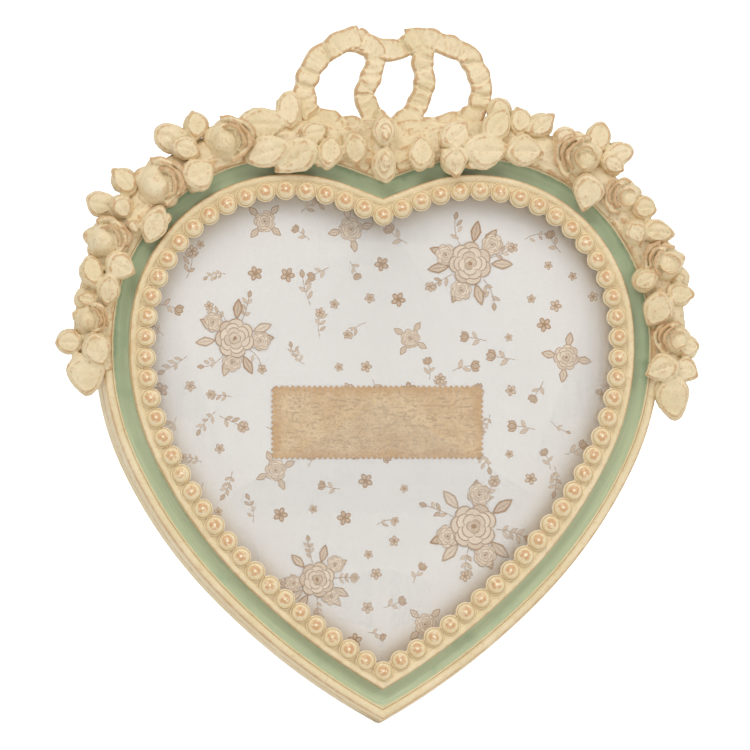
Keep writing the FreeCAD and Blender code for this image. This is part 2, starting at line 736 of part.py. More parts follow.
def group(name, things):
    """Several loose solids in one sub-part."""
    thing = doc.addObject("Part::Compound", name)
    thing.Links = things
    return thing


def ground():
    """Everything below the surface that the frame stands on."""
    lengths = ("2 * Sizes.strut_foot_width", "2 * Sizes.hinge_height", "2 * Sizes.overrun")
    base = ("-Sizes.strut_foot_width", "-Sizes.hinge_height", "-2 * Sizes.overrun")
    return box("Ground", lengths, base)


def grounded(thing, label):
    """Cut a placed part flat where it stands."""
    return finish(cut(label, thing, ground()), label)


# %% Moulding, cove, rim and beads


def button_place(name):
    """Where a turn button's screw stands, and the inward direction there."""
    side, share = BUTTON_SHARES[name]
    point, outward = heart_place(share, size("screw_reach"), side)
    return point, -outward


def screw_solid(point):
    """One turn button screw, seated in the resin."""
    seat = -2 * size("side_gap") - size("steel_thickness")
    head = size("screw_head_height")
    up = Vector(0, 0, 1)
    shank = Part.makeCylinder(size("screw_radius"), size("screw_depth") - seat, point + up * seat, up)
    pan = Part.makeCylinder(size("screw_head_radius"), head, point + up * (seat - head), up)
    return shank.fuse(pan)


def make_moulding():
    """The moulding, bored for the screws and cut flat at the tip."""
    shape = ring(moulding_section())
    for name in BUTTON_SHARES:
        shape = shape.cut(screw_solid(button_place(name)[0]))
    thing = doc.addObject("Part::Feature", "MouldingRing")
    thing.Shape = shape
    grounded(place(thing, "panel"), "frame_moulding")


def make_rims():
    """The green cove, the bead rim and the row of beads on it."""
    feature("green_cove", ring(cove_section()))
    rim = ring(rim_section())
    feature("bead_rim", rim)
    line = Part.Wire(half_edges(-size("bead_inset")))
    places = line.discretize(Number=BEADS_PER_SIDE + 1)
    places += [Vector(-point.x, point.y, 0) for point in places[1:-1]]
    height = Vector(0, 0, size("bead_seat") + size("bead_lift"))
    beads = [Part.makeSphere(size("bead_radius"), point + height).cut(rim) for point in places]
    feature("beads", Part.makeCompound([bead.Solids[0] for bead in beads]))


# %% Bow


def bow_curve(shares):
    """A closed smooth outline from shares of the bow's half width and height."""
    points = []
    for across, up in shares:
        u = size("bow_shift") + across * size("bow_half_width")
        v = size("bow_knot_rise") + up * size("bow_height")
        points.append(Vector(u, v, 0))
    curve = Part.BSplineCurve()
    curve.interpolate(Points=points, PeriodicFlag=True)
    return Part.Wire(curve.toShape())


def bow_solids(clear):
    """The two loops and the knot of the bow, clear of the moulding and the beds."""
    outline = Part.Face(bow_curve(BOW_SHARES))
    for hole in BOW_HOLE_SHARES:
        outline = outline.cut(Part.Face(bow_curve(hole)))
    low = size("bow_back_level")
    loops = outline.extrude(Vector(0, 0, size("bow_thickness")))
    knot = outline.extrude(Vector(0, 0, size("ridge_top") - low))
    wide = 2 * size("bow_half_width")
    split_u = size("bow_shift") + BOW_SPLIT_SHARE * size("bow_half_width")
    split_v = size("bow_knot_rise") + BOW_KNOT_SHARE * size("bow_height")
    deep = size("ridge_top")
    left = Part.makeBox(wide, wide, deep, Vector(split_u - wide, split_v, 0))
    right = Part.makeBox(wide, wide, deep, Vector(split_u, split_v, 0))
    below = Part.makeBox(2 * wide, wide, deep, Vector(split_u - wide, split_v - wide, 0))
    solids = {
        "bow_knot": knot.common(below),
        "bow_loop_left": loops.common(left),
        "bow_loop_right": loops.common(right),
    }
    for shape in solids.values():
        shape.translate(Vector(0, 0, low))
    solids["bow_knot"] = solids["bow_knot"].cut(clear)
    return solids


# %% Garland


def bed_solid(side, last_share):
    """The bank of resin along the moulding's wall that carries the garland."""
    seat = size("garland_seat")
    reach = size("bed_reach")
    back = size("bed_back_level")
    width = size("bed_width")
    top = size("ridge_top")
    points = [
        (seat, back),
        (reach - width / 4, back),
        (reach, back + width / 4),
        (reach, garland_level(reach, 0) - width / 4),
        (reach - width / 4, garland_level(reach - width / 4, 0)),
        (seat, top),
    ]
    first_share = 1.05 * reach * size("slope_tan") / heart_length()
    solids = sweep(points, first_share, last_share)
    bed = solids[0].multiFuse(solids[1:]).removeSplitter()
    return bed if side > 0 else bed.mirror(Vector(), Vector(1, 0, 0))


def garland_level(reach, rise):
    """Height of a rose or leaf: it droops where it lies past the moulding."""
    past = max(reach - size("garland_seat"), 0)
    return size("ridge_top") + rise * size("garland_rise") - size("garland_droop_share") * past


def leaf_solid(length, width):
    """A leaf with its tip along +X: two arcs from tip to tip, a domed face and a deep root."""
    tip = length / 2
    side = width / 2
    crown = size("leaf_crown")
    top = size("leaf_edge") + crown
    root = size("leaf_root")
    edges = [
        Part.Arc(Vector(-tip, 0, -root), Vector(0, side, -root), Vector(tip, 0, -root)).toShape(),
        Part.Arc(Vector(tip, 0, -root), Vector(0, -side, -root), Vector(-tip, 0, -root)).toShape(),
    ]
    leaf = Part.Face(Part.Wire(edges)).extrude(Vector(0, 0, root + top))
    radius = (tip * tip + crown * crown) / (2 * crown)
    dome = Part.makeSphere(radius, Vector(0, 0, top - radius))
    wide = Part.makeCylinder(2 * tip, root + size("leaf_edge"), Vector(0, 0, -root))
    return leaf.common(dome.fuse(wide))


def laid(solid, point, level, outward, pointing, side):
    """Turn a leaf to its pointing, dip its tip and move it to its place."""
    heading = math.degrees(math.atan2(outward.y, outward.x)) - side * pointing
    turn = Rotation(Vector(0, 0, 1), heading) * Rotation(Vector(0, 1, 0), size("leaf_dip"))
    solid.Placement = Placement(Vector(point.x, point.y, level), turn)
    return solid


def leaves(rows, side):
    """The leaves of one spray, fused."""
    solids = []
    for share, reach_share, pointing, length_share, width_share, rise_share in rows:
        reach = reach_share * size("garland_reach")
        point, outward = heart_place(share, reach, side)
        leaf = leaf_solid(length_share * size("leaf_span"), width_share * size("leaf_breadth"))
        solids.append(laid(leaf, point, garland_level(reach, rise_share), outward, pointing, side))
    return solids[0].multiFuse(solids[1:])


def notch_buds():
    """The two buds over the notch, one pointing up and one hanging down."""
    solids = []
    for direction, (height_share, rise_share, length_share, width_share) in zip((1, -1), BUD_SHARES):
        bud = leaf_solid(length_share * size("leaf_span"), width_share * size("leaf_breadth"))
        point = Vector(0, height_share * size("garland_reach"), 0)
        level = size("ridge_top") + rise_share * size("garland_rise")
        solids.append(laid(bud, point, level, Vector(0, direction, 0), 0, 1))
    return solids[0].fuse(solids[1])


def rose_solid(row, side):
    """A rose: a round base, a ring of petals and a bud in the middle."""
    share, reach_share, radius_share, rise_share = row
    radius = radius_share * size("rose_radius")
    reach = reach_share * size("garland_reach")
    point, _ = heart_place(share, reach, side)
    level = garland_level(reach, rise_share)
    centre = Vector(point.x, point.y, level)
    petal = 0.52 * radius
    base = Part.makeSphere(0.8 * radius, centre - Vector(0, 0, petal / 2))
    parts = [Part.makeSphere(petal, centre + Vector(0, 0, petal))]
    for index in range(ROSE_PETALS):
        turned = 2 * math.pi * index / ROSE_PETALS
        offset = Vector(math.cos(turned), math.sin(turned), 0) * (radius - petal)
        parts.append(Part.makeSphere(petal, centre + offset))
    return base.multiFuse(parts)


def make_ornament():
    """Bow, beds, roses, buds and leaves, each cut clear of what lies there before it."""
    clear = heart_plate(size("garland_seat"), 0, size("ridge_top"))
    done = {}

    def add(label, shape):
        shape = shape.cut(clear)
        for other in done.values():
            if other.BoundBox.intersect(shape.BoundBox):
                shape = shape.cut(other)
        kept = [solid for solid in shape.Solids if solid.Volume > size("sliver_volume")]
        done[label] = Part.makeCompound(kept) if len(kept) > 1 else kept[0]
        feature(label, done[label])

    for label, (side, last_share) in BED_SHARES.items():
        add(label, bed_solid(side, last_share))
    for label, shape in bow_solids(clear).items():
        add(label, shape)
    for label, row in ROSE_SHARES.items():
        add(label, rose_solid(row, -1 if "left" in label else 1))
    add("notch_buds", notch_buds())
    for label, rows in LEAF_SHARES.items():
        add(label, leaves(rows, -1 if "left" in label else 1))


# %% Glass, insert, card, backboard and velvet

BRACKET_HOLES = [
    ("-Sizes.bracket_rivet_spacing / 2", "Sizes.pin_v", "Sizes.rivet_radius"),
    ("Sizes.bracket_rivet_spacing / 2", "Sizes.pin_v", "Sizes.rivet_radius"),
]
BOARD_TAB = "Sizes.pin_v - Sizes.ribbon_board_drop + Sizes.ribbon_tab / 2"
RIBBON_BOARD_HOLE = ("0", BOARD_TAB, "Sizes.rivet_radius")
STRAP_HOLE = ("0", "Sizes.hanger_v + Sizes.strap_rivet_rise", "Sizes.rivet_radius")
LEAF_HOLES = [
    ("0", "-Sizes.leaf_rivet_first", "Sizes.rivet_radius"),
    ("0", "-Sizes.leaf_rivet_first - Sizes.leaf_rivet_spacing", "Sizes.rivet_radius"),
]
RIBBON_STRUT_HOLE = ("0", "-Sizes.ribbon_strut_drop + Sizes.ribbon_tab / 2", "Sizes.rivet_radius")


def make_sheet(label, back, thickness, holes=()):
    """One heart shaped sheet of the stack in the rebate."""
    body = doc.addObject("PartDesign::Body", label)
    sketch = sketch_on(body, "Outline", level=back)
    heart_outline(sketch, "-Sizes.sheet_inset")
    pad(body, sketch, thickness)
    if holes:
        drill(body, holes)
    finish(place(body, "panel"), label)


def make_stack():
    """Everything that the rebate holds, from the glass to the velvet flush with the moulding's back."""
    holes = BRACKET_HOLES + [RIBBON_BOARD_HOLE, STRAP_HOLE]
    make_sheet("glass_pane", "Sizes.glass_back", "Sizes.glass_thickness")
    make_sheet("photo_insert", "Sizes.insert_back", "Sizes.insert_thickness")
    make_sheet("filler_card", "Sizes.card_back", "Sizes.card_thickness")
    make_sheet("backboard", "Sizes.board_back", "Sizes.board_thickness", holes)
    make_sheet("backboard_velvet", "0", "Sizes.velvet_thickness", holes)


# %% Rivets, hinge and strut


def rivet(name, hole, foot, top):
    """A rivet in a hole, with its head below the level foot and its shank up to the level top."""
    across, up, radius = hole
    head_level = f"({foot}) - Sizes.rivet_head_height"
    shank = cylinder(name + "Shank", radius, f"({top}) - ({foot})", (across, up, foot))
    head = doc.addObject("Part::Cone", name + "Head")
    bind(head, Radius1="0.6 * Sizes.rivet_head_radius", Radius2="Sizes.rivet_head_radius")
    bind(head, Height="Sizes.rivet_head_height")
    bind(head, Placement__Base__x=across, Placement__Base__y=up, Placement__Base__z=head_level)
    return joined(name, [shank, head])


def make_bracket():
    """The stamped bracket on the backboard, its two rivets and the hinge pin."""
    lengths = ("Sizes.bracket_width", "Sizes.bracket_height", "Sizes.steel_thickness")
    base = ("-Sizes.bracket_width / 2", "Sizes.pin_v - Sizes.bracket_height / 2", "-Sizes.steel_thickness")
    parts = [box("BracketPlate", lengths, base)]
    across = Vector(1, 0, 0)
    pin_level = "-Sizes.pin_standoff"
    for side, foot in (("Left", "-Sizes.ear_outside"), ("Right", "Sizes.ear_inside")):
        lengths = ("Sizes.steel_thickness", "2 * Sizes.ear_radius", "Sizes.pin_standoff")
        parts.append(box("Ear" + side, lengths, (foot, "Sizes.pin_v - Sizes.ear_radius", pin_level)))
        end = (foot, "Sizes.pin_v", pin_level)
        parts.append(cylinder("EarEnd" + side, "Sizes.ear_radius", "Sizes.steel_thickness", end, across))
    length = "2 * Sizes.ear_outside"
    pin_end = ("-Sizes.ear_outside", "Sizes.pin_v", pin_level)
    holes = [cylinder("PinHole", "Sizes.pin_radius", length, pin_end, across)]
    for index, (u, v, radius) in enumerate(BRACKET_HOLES):
        foot = (u, v, "-2 * Sizes.steel_thickness")
        holes.append(cylinder(f"BracketHole{index}", radius, "4 * Sizes.steel_thickness", foot))
    bracket = cut("hinge_bracket", joined("BracketBlank", parts), joined("BracketHoles", holes))
    finish(place(bracket, "panel"), "hinge_bracket")

    rivets = [
        rivet(f"BracketRivet{index}", hole, "-Sizes.steel_thickness", "Sizes.card_back")
        for index, hole in enumerate(BRACKET_HOLES)
    ]
    finish(place(group("bracket_rivets", rivets), "panel"), "bracket_rivets")

    shank = cylinder("PinShank", "Sizes.pin_radius", length, pin_end, across)
    heads = []
    head = "Sizes.pin_head_length"
    for side, foot in (("Left", f"-Sizes.ear_outside - {head}"), ("Right", "Sizes.ear_outside")):
        end = (foot, "Sizes.pin_v", pin_level)
        heads.append(cylinder("PinHead" + side, "Sizes.pin_head_radius", head, end, across))
    finish(place(joined("hinge_pin", [shank, *heads]), "panel"), "hinge_pin")


def make_leaf():
    """The hinge leaf on the strut, curled round the pin, with its two rivets."""
    across = Vector(1, 0, 0)
    left = "-Sizes.barrel_length / 2"
    plate = box(
        "LeafPlate",
        ("Sizes.barrel_length", "Sizes.leaf_length", "Sizes.steel_thickness"),
        (left, "-Sizes.leaf_length", "Sizes.leaf_back"),
    )
    barrel = cylinder("LeafBarrel", "Sizes.barrel_radius", "Sizes.barrel_length", (left, "0", "0"), across)
    bore_radius = "Sizes.pin_radius + Sizes.running_gap"
    holes = [cylinder("LeafBore", bore_radius, "Sizes.barrel_length", (left, "0", "0"), across)]
    for index, (u, v, radius) in enumerate(LEAF_HOLES):
        foot = (u, v, "Sizes.leaf_back - Sizes.steel_thickness")
        holes.append(cylinder(f"LeafHole{index}", radius, "3 * Sizes.steel_thickness", foot))
    leaf = cut("hinge_leaf", joined("LeafBlank", [plate, barrel]), joined("LeafHoles", holes))
    finish(place(leaf, "strut"), "hinge_leaf")
    rivets = [
        rivet(f"LeafRivet{index}", hole, "Sizes.leaf_back", "Sizes.strut_front")
        for index, hole in enumerate(LEAF_HOLES)
    ]
    finish(place(group("leaf_rivets", rivets), "strut"), "leaf_rivets")


def make_strut(label, back, thickness):
    """One layer of the strut, wide at the foot and cut level with the surface that it stands on."""
    body = doc.addObject("PartDesign::Body", label + "_blank")
    sketch = sketch_on(body, "StrutOutline", level=back)
    top = "-Sizes.strut_top_gap"
    foot = "-Sizes.strut_foot"
    low = "-Sizes.strut_foot - Sizes.overrun"
    right = [("Sizes.strut_top_width / 2", top), ("Sizes.strut_foot_width / 2", foot)]
    right.append(("Sizes.strut_foot_width / 2", low))
    left = [("-" + across, up) for across, up in reversed(right)]
    polygon(sketch, right + left)
    pad(body, sketch, thickness)
    drill(body, LEAF_HOLES + [RIBBON_STRUT_HOLE])
    grounded(place(body, "strut"), label)


def make_struts():
    """The board of the strut between its two velvet faces."""
    make_strut("strut_velvet_back", "Sizes.strut_back", "Sizes.velvet_thickness")
    make_strut("strut_board", "Sizes.strut_core_back", "Sizes.strut_core_thickness")
    make_strut("strut_velvet_front", "Sizes.strut_core_front", "Sizes.velvet_thickness")


# %% Stay ribbon


def make_ribbon():
    """The ribbon that stops the strut, riveted to the backboard and to the strut."""

    def on_strut(down, out):
        across = f"Sizes.pin_v + ({down}) * Sizes.splay_cos - ({out}) * Sizes.splay_sin"
        up = f"-Sizes.pin_standoff + ({down}) * Sizes.splay_sin + ({out}) * Sizes.splay_cos"
        return across, up

    fold = "Sizes.pin_v - Sizes.ribbon_board_drop"
    strut_fold = "-Sizes.ribbon_strut_drop"
    thick = "Sizes.ribbon_thickness"
    face = "Sizes.strut_front"
    corners = [
        (f"{fold} + Sizes.ribbon_tab", "0"),
        (fold, "0"),
        on_strut(strut_fold, face),
        on_strut(f"{strut_fold} + Sizes.ribbon_tab", face),
        on_strut(f"{strut_fold} + Sizes.ribbon_tab", f"{face} + {thick}"),
        on_strut(f"{strut_fold} + 2 * {thick}", f"{face} + {thick}"),
        (f"{fold} + {thick}", f"-{thick}"),
        (f"{fold} + Sizes.ribbon_tab", f"-{thick}"),
    ]
    body = doc.addObject("PartDesign::Body", "ribbon_strip")
    sketch = sketch_on(body, "RibbonPath", "YZ_Plane")
    polygon(sketch, corners)
    pad(body, sketch, "Sizes.ribbon_width", both_ways=True)
    place(body, "panel")
    board_rivet = rivet("RibbonBoardRivet", RIBBON_BOARD_HOLE, f"-{thick}", "Sizes.card_back")
    finish(place(board_rivet, "panel"), "ribbon_board_rivet")
    strut_rivet = rivet("RibbonStrutRivet", RIBBON_STRUT_HOLE, "Sizes.strut_back", f"{face} + {thick}")
    finish(place(strut_rivet, "strut"), "ribbon_strut_rivet")
    rivets = group("RibbonRivets", [board_rivet, strut_rivet])
    finish(cut("stay_ribbon", body, rivets), "stay_ribbon")


# %% Turn buttons and hanger


def make_buttons():
    """Four turn buttons that keep the backboard in, and their screws."""
    radius = size("button_width") / 2
    span = size("button_length") - size("button_width")
    steel = size("steel_thickness")
    for name in BUTTON_SHARES:
        point, inward = button_place(name)
        ends = [Part.makeCylinder(radius, steel), Part.makeCylinder(radius, steel, Vector(span, 0, 0))]
        tab = Part.makeBox(span, 2 * radius, steel, Vector(0, -radius, 0)).multiFuse(ends).removeSplitter()
        hole = Part.makeCylinder(size("screw_radius") + size("running_gap"), 3 * steel, Vector(0, 0, -steel))
        tab = tab.cut(hole)
        heading = math.degrees(math.atan2(inward.y, inward.x))
        base = Vector(point.x, point.y, -size("side_gap") - steel)
        tab.Placement = Placement(base, Rotation(Vector(0, 0, 1), heading))
        feature(name, Part.makeCompound([tab]))
    screws = [screw_solid(button_place(name)[0]) for name in BUTTON_SHARES]
    feature("turn_button_screws", Part.makeCompound(screws))


def make_hanger():
    """The riveted strap with a curled end, and the wire ring that hangs in it."""
    across = Vector(1, 0, 0)
    left = "-Sizes.strap_width / 2"
    centre_level = "-Sizes.strap_barrel_radius"
    plate = box(
        "StrapPlate",
        ("Sizes.strap_width", "Sizes.strap_height", "Sizes.steel_thickness"),
        (left, "Sizes.hanger_v", "-Sizes.steel_thickness"),
    )
    end = (left, "Sizes.hanger_v", centre_level)
    curl = cylinder("StrapCurl", "Sizes.strap_barrel_radius", "Sizes.strap_width", end, across)
    bore_radius = "Sizes.ring_wire_radius + Sizes.running_gap"
    bore = cylinder("StrapBore", bore_radius, "Sizes.strap_width", end, across)
    u, v, radius = STRAP_HOLE
    hole = cylinder("StrapHole", radius, "3 * Sizes.steel_thickness", (u, v, "-2 * Sizes.steel_thickness"))
    strap = cut("hanger_strap", joined("StrapBlank", [plate, curl]), joined("StrapHoles", [bore, hole]))
    finish(place(strap, "panel"), "hanger_strap")
    strap_rivet = rivet("StrapRivet", STRAP_HOLE, "-Sizes.steel_thickness", "Sizes.card_back")
    finish(place(strap_rivet, "panel"), "strap_rivet")

    wire = size("ring_wire_radius")
    radius = size("ring_radius")
    bar = Part.makeCylinder(wire, 2 * radius, Vector(-radius, 0, 0), across)
    circle = Part.Circle(Vector(-radius, 0, 0), Vector(0, 1, 0), wire)
    arc = Part.Face(Part.Wire(circle.toShape())).revolve(Vector(), Vector(0, 0, 1), 180)
    corners = [Part.makeSphere(wire, Vector(side * radius, 0, 0)) for side in (-1, 1)]
    feature("hanging_ring", bar.multiFuse([arc, *corners]), frame="ring")


# %% Build, check and write


def main():
    """Build every sub-part, check the document and write the files."""
    make_moulding()
    make_rims()
    make_ornament()
    make_stack()
    make_bracket()
    make_leaf()
    make_struts()
    make_ribbon()
    make_buttons()
    make_hanger()
    doc.recompute()
    for thing in doc.Objects:
        if "Invalid" in thing.State or "Error" in thing.State:
            raise RuntimeError(f"{thing.Label} failed: {thing.State}")
    for thing in subparts:
        if thing.Shape.isNull() or not thing.Shape.isValid():
            raise RuntimeError(f"{thing.Label} has no valid shape")
    os.makedirs("parts", exist_ok=True)
    for thing in subparts:
        thing.Shape.exportStep(os.path.join("parts", thing.Label + ".step"))
        box_of = thing.Shape.BoundBox
        print(f"{thing.Label}: {len(thing.Shape.Solids)} solids, {thing.Shape.Volume:.1f} mm3,"
              f" {box_of.XLength:.1f} x {box_of.YLength:.1f} x {box_of.ZLength:.1f} mm")


main()
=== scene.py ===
# %% [markdown]
# # A heart shaped photo frame
# A small table frame: a cast resin heart painted cream, a sage green hollow, a row of half pearls, a garland
# of roses and leaves and an openwork bow. The solids of the model come first, as a fixed frame. Each piece
# that shows its carving is modelled anew over its solid, and the plain hardware keeps its solid.

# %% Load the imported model
import json
import math
import random
import bmesh
import bpy
import numpy as np
from mathutils import Matrix, Vector
from mathutils.kdtree import KDTree
from mathutils.noise import noise as perlin


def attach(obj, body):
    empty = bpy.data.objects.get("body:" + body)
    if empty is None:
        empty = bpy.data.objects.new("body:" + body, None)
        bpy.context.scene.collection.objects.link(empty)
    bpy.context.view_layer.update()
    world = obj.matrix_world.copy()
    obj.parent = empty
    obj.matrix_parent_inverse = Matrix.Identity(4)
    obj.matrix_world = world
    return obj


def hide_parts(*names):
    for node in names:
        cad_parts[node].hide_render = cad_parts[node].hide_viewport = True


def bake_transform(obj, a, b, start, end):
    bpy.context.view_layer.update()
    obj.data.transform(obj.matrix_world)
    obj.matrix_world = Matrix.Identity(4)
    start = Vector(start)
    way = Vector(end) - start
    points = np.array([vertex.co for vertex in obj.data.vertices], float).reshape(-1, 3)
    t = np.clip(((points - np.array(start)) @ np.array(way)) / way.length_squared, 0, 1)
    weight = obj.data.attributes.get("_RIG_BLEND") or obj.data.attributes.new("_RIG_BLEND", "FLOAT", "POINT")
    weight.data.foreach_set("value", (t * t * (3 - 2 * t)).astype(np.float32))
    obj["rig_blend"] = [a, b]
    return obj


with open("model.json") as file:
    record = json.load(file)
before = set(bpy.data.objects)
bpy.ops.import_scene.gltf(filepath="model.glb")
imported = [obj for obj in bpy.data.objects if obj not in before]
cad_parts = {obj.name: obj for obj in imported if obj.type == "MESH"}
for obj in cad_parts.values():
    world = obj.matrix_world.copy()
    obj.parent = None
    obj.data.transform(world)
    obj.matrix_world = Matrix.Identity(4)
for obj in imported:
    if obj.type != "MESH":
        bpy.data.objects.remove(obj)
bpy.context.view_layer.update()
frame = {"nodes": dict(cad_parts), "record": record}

record = frame["record"]

# %% [markdown]
# ## The panel's own axes
# The heart leans back by 15 degrees, so its pieces are easier to shape lying flat: u across, v up along the
# heart and w out of its face, in millimetres, with the notch of the heart at the origin. One matrix then
# stands a finished piece up. A matrix on the object would do it too, but a pattern that reads object
# coordinates would turn with it, so the matrix goes into the mesh.

# %% Panel matrix
MM = 0.001
LEAN = math.radians(15)
NOTCH_Y, NOTCH_Z = 0.0361388, 0.1342718
PANEL = Matrix((
    (MM, 0, 0, 0),
    (0, MM * math.sin(LEAN), -MM * math.cos(LEAN), NOTCH_Y),
    (0, MM * math.cos(LEAN), MM * math.sin(LEAN), NOTCH_Z),
    (0, 0, 0, 1),
))
FLAT = PANEL.to_3x3()
print("notch of the heart at", [round(c, 4) for c in PANEL @ Vector()])

# %% [markdown]
# ## Small helpers
# Four short helpers take up what every piece below repeats: an object in the scene, a mesh from a bmesh, all
# of a bmesh for an operator, and a direction in the plane of the panel.


# %% Small helpers
def placed(name, data):
    """An object at the origin that shows a mesh, lamp or camera."""
    made = bpy.data.objects.new(name, data)
    bpy.context.scene.collection.objects.link(made)
    return made


def as_mesh(name, shape):
    """A mesh from a bmesh, which is let go."""
    mesh = bpy.data.meshes.new(name)
    shape.to_mesh(mesh)
    shape.free()
    return mesh


def all_of(shape):
    """Every point, edge and face of a bmesh, as the operators take them."""
    return shape.verts[:] + shape.edges[:] + shape.faces[:]


def toward(angle):
    """The direction at an angle in the panel, from the right and counterclockwise."""
    return Vector((math.cos(angle), math.sin(angle), 0))


print("helpers ready")

# %% [markdown]
# ## Camera
# The camera looks at the leaning panel from nearly two metres away and from a little to the left, so that
# the left side wall shows and the right one doesn't. Its upright is the panel's own and not the room's, or
# the leaning heart would seem tilted from the side. A long lens keeps perspective out of its outline.

# %% Camera
aim = PANEL @ Vector((-2.0, -46.7, 9))
yaw = math.radians(7.0)
back = (FLAT @ Vector((-math.sin(yaw), 0, math.cos(yaw)))).normalized()
upright = (FLAT @ Vector((0, 1, 0))).normalized()
camera = placed("camera", bpy.data.cameras.new("camera"))
camera.data.lens = 326
camera.location = aim + back * 1.8
camera.rotation_euler = Matrix((upright.cross(back), upright, back)).transposed().to_euler()
bpy.context.scene.camera = camera
print("camera", [round(c, 3) for c in camera.location])

# %% [markdown]
# ## Material helpers
# A material is a tree of nodes. The helper node makes one of them, sets its options, and gives each socket
# either a value or a link, so that a material reads from top to bottom like a recipe. The others make the
# few patterns and endings that several materials share.


# %% Colours and nodes
def srgb(red, green, blue):
    """A colour as a paint chart gives it, 0 to 255, as the linear colour that shaders use."""
    return tuple(((c / 255 + 0.055) / 1.055) ** 2.4 for c in (red, green, blue)) + (1.0,)


def node(tree, kind, sockets=None, **options):
    """A new node, with its options and with a value or a link for each named or numbered socket."""
    made = tree.nodes.new(kind)
    for name, value in options.items():
        setattr(made, name, value)
    for name, value in (sockets or {}).items():
        if isinstance(value, bpy.types.NodeSocket):
            tree.links.new(value, made.inputs[name])
        else:
            made.inputs[name].default_value = value
    return made


def blank(name):
    """A material with an empty tree, and that tree."""
    made = bpy.data.materials.new(name)
    made.use_nodes = True
    made.node_tree.nodes.clear()
    return made, made.node_tree


print("white is", srgb(255, 255, 255)[:3])


# %% Values and patterns
def spread(tree, value, low, high, first=0.0, last=1.0):
    """A value stretched from one range to another and held inside it."""
    sockets = {"Value": value, "From Min": low, "From Max": high, "To Min": first, "To Max": last}
    return node(tree, "ShaderNodeMapRange", sockets, interpolation_type="SMOOTHSTEP").outputs["Result"]


def mixed(tree, share, first, second, blend="MIX"):
    """Two colours mixed by a share."""
    made = node(tree, "ShaderNodeMix", data_type="RGBA", blend_type=blend)
    for socket, value in ((made.inputs[0], share), (made.inputs[6], first), (made.inputs[7], second)):
        if isinstance(value, bpy.types.NodeSocket):
            tree.links.new(value, socket)
        else:
            socket.default_value = value
    return made.outputs[2]


def math_node(tree, operation, first, second):
    """One sum of two values."""
    return node(tree, "ShaderNodeMath", {0: first, 1: second}, operation=operation).outputs[0]


def noise(tree, scale, detail=3.0, rough=0.6, vector=None):
    """Cloudy noise on object coordinates, or on a vector."""
    if vector is None:
        vector = node(tree, "ShaderNodeTexCoord").outputs["Object"]
    sockets = {"Vector": vector, "Scale": scale, "Detail": detail, "Roughness": rough}
    return node(tree, "ShaderNodeTexNoise", sockets).outputs["Fac"]


def stretched(tree, scale):
    """Object coordinates, stretched."""
    where = node(tree, "ShaderNodeTexCoord").outputs["Object"]
    return node(tree, "ShaderNodeMapping", {"Vector": where, "Scale": scale}).outputs[0]


def masked(tree, name):
    """A mask that is stored on the mesh's points."""
    return node(tree, "ShaderNodeAttribute", attribute_name=name).outputs["Fac"]


print("patterns ready")


# %% Surfaces and rays
def surface(tree, colour, rough, height=None, strength=0.3, depth=0.0002, **sockets):
    """The shader and output of a material, with bumps where a height is given."""
    if height is not None:
        bumped = node(tree, "ShaderNodeBump", {"Height": height, "Strength": strength, "Distance": depth})
        sockets["Normal"] = bumped.outputs["Normal"]
    sockets = {name.replace("_", " "): value for name, value in sockets.items()}
    shader = node(tree, "ShaderNodeBsdfPrincipled", {"Base Color": colour, "Roughness": rough, **sockets})
    node(tree, "ShaderNodeOutputMaterial", {"Surface": shader.outputs[0]})


def any_of(tree, names):
    """1 for a ray of any of the kinds named, else 0."""
    rays = node(tree, "ShaderNodeLightPath").outputs
    share = rays[names[0]]
    for name in names[1:]:
        share = math_node(tree, "MAXIMUM", share, rays[name])
    return share


print("endings ready")

# %% [markdown]
# ## Floor, light and world
# The product stands on a white sweep under broad, soft lamps. The floor is white by its own colour, and the
# world shows white to the camera and to gloss and glass while it lights the object at a lower level, so
# that the background needs no extra light on the object. The floor still takes the object's shadow.

# %% Floor
SEEN_BY = ("Is Camera Ray", "Is Transmission Ray", "Is Glossy Ray")
shape = bmesh.new()
bmesh.ops.create_grid(shape, x_segments=1, y_segments=1, size=6)
floor = placed("floor", as_mesh("floor", shape))
floor_paint, tree = blank("white_sweep")
plain = node(tree, "ShaderNodeBsdfDiffuse", {"Color": (0.93, 0.93, 0.93, 1)})
lifted = node(tree, "ShaderNodeEmission", {"Color": (1, 1, 1, 1), "Strength": 0.75})
both = node(tree, "ShaderNodeAddShader", {0: plain.outputs[0], 1: lifted.outputs[0]})
mix = node(tree, "ShaderNodeMixShader", {0: any_of(tree, SEEN_BY), 1: plain.outputs[0], 2: both.outputs[0]})
node(tree, "ShaderNodeOutputMaterial", {"Surface": mix.outputs[0]})
floor.data.materials.append(floor_paint)
print("floor", [round(c, 1) for c in floor.dimensions])

# %% Lamps and world
MIDDLE = Vector((0, 0.02, 0.09))


def lamp(name, place, width, watts):
    """A square soft box that faces the middle of the object."""
    made = placed(name, bpy.data.lights.new(name, "AREA"))
    made.data.size = width
    made.data.energy = watts
    made.location = place
    made.rotation_euler = (MIDDLE - Vector(place)).to_track_quat("-Z", "Y").to_euler()


lamp("soft_box_above", (-0.45, -0.75, 1.45), 0.9, 10.5)
lamp("soft_box_side", (1.25, -1.0, 1.15), 0.9, 7.5)
world = bpy.data.worlds.new("studio")
bpy.context.scene.world = world
world.use_nodes = True
tree = world.node_tree
tree.nodes.clear()
level = math_node(tree, "ADD", math_node(tree, "MULTIPLY", any_of(tree, SEEN_BY), 0.5), 0.5)
light = node(tree, "ShaderNodeBackground", {"Color": (1, 1, 1, 1), "Strength": level})
node(tree, "ShaderNodeOutputWorld", {"Surface": light.outputs[0]})
bpy.context.scene.view_settings.view_transform = "Standard"

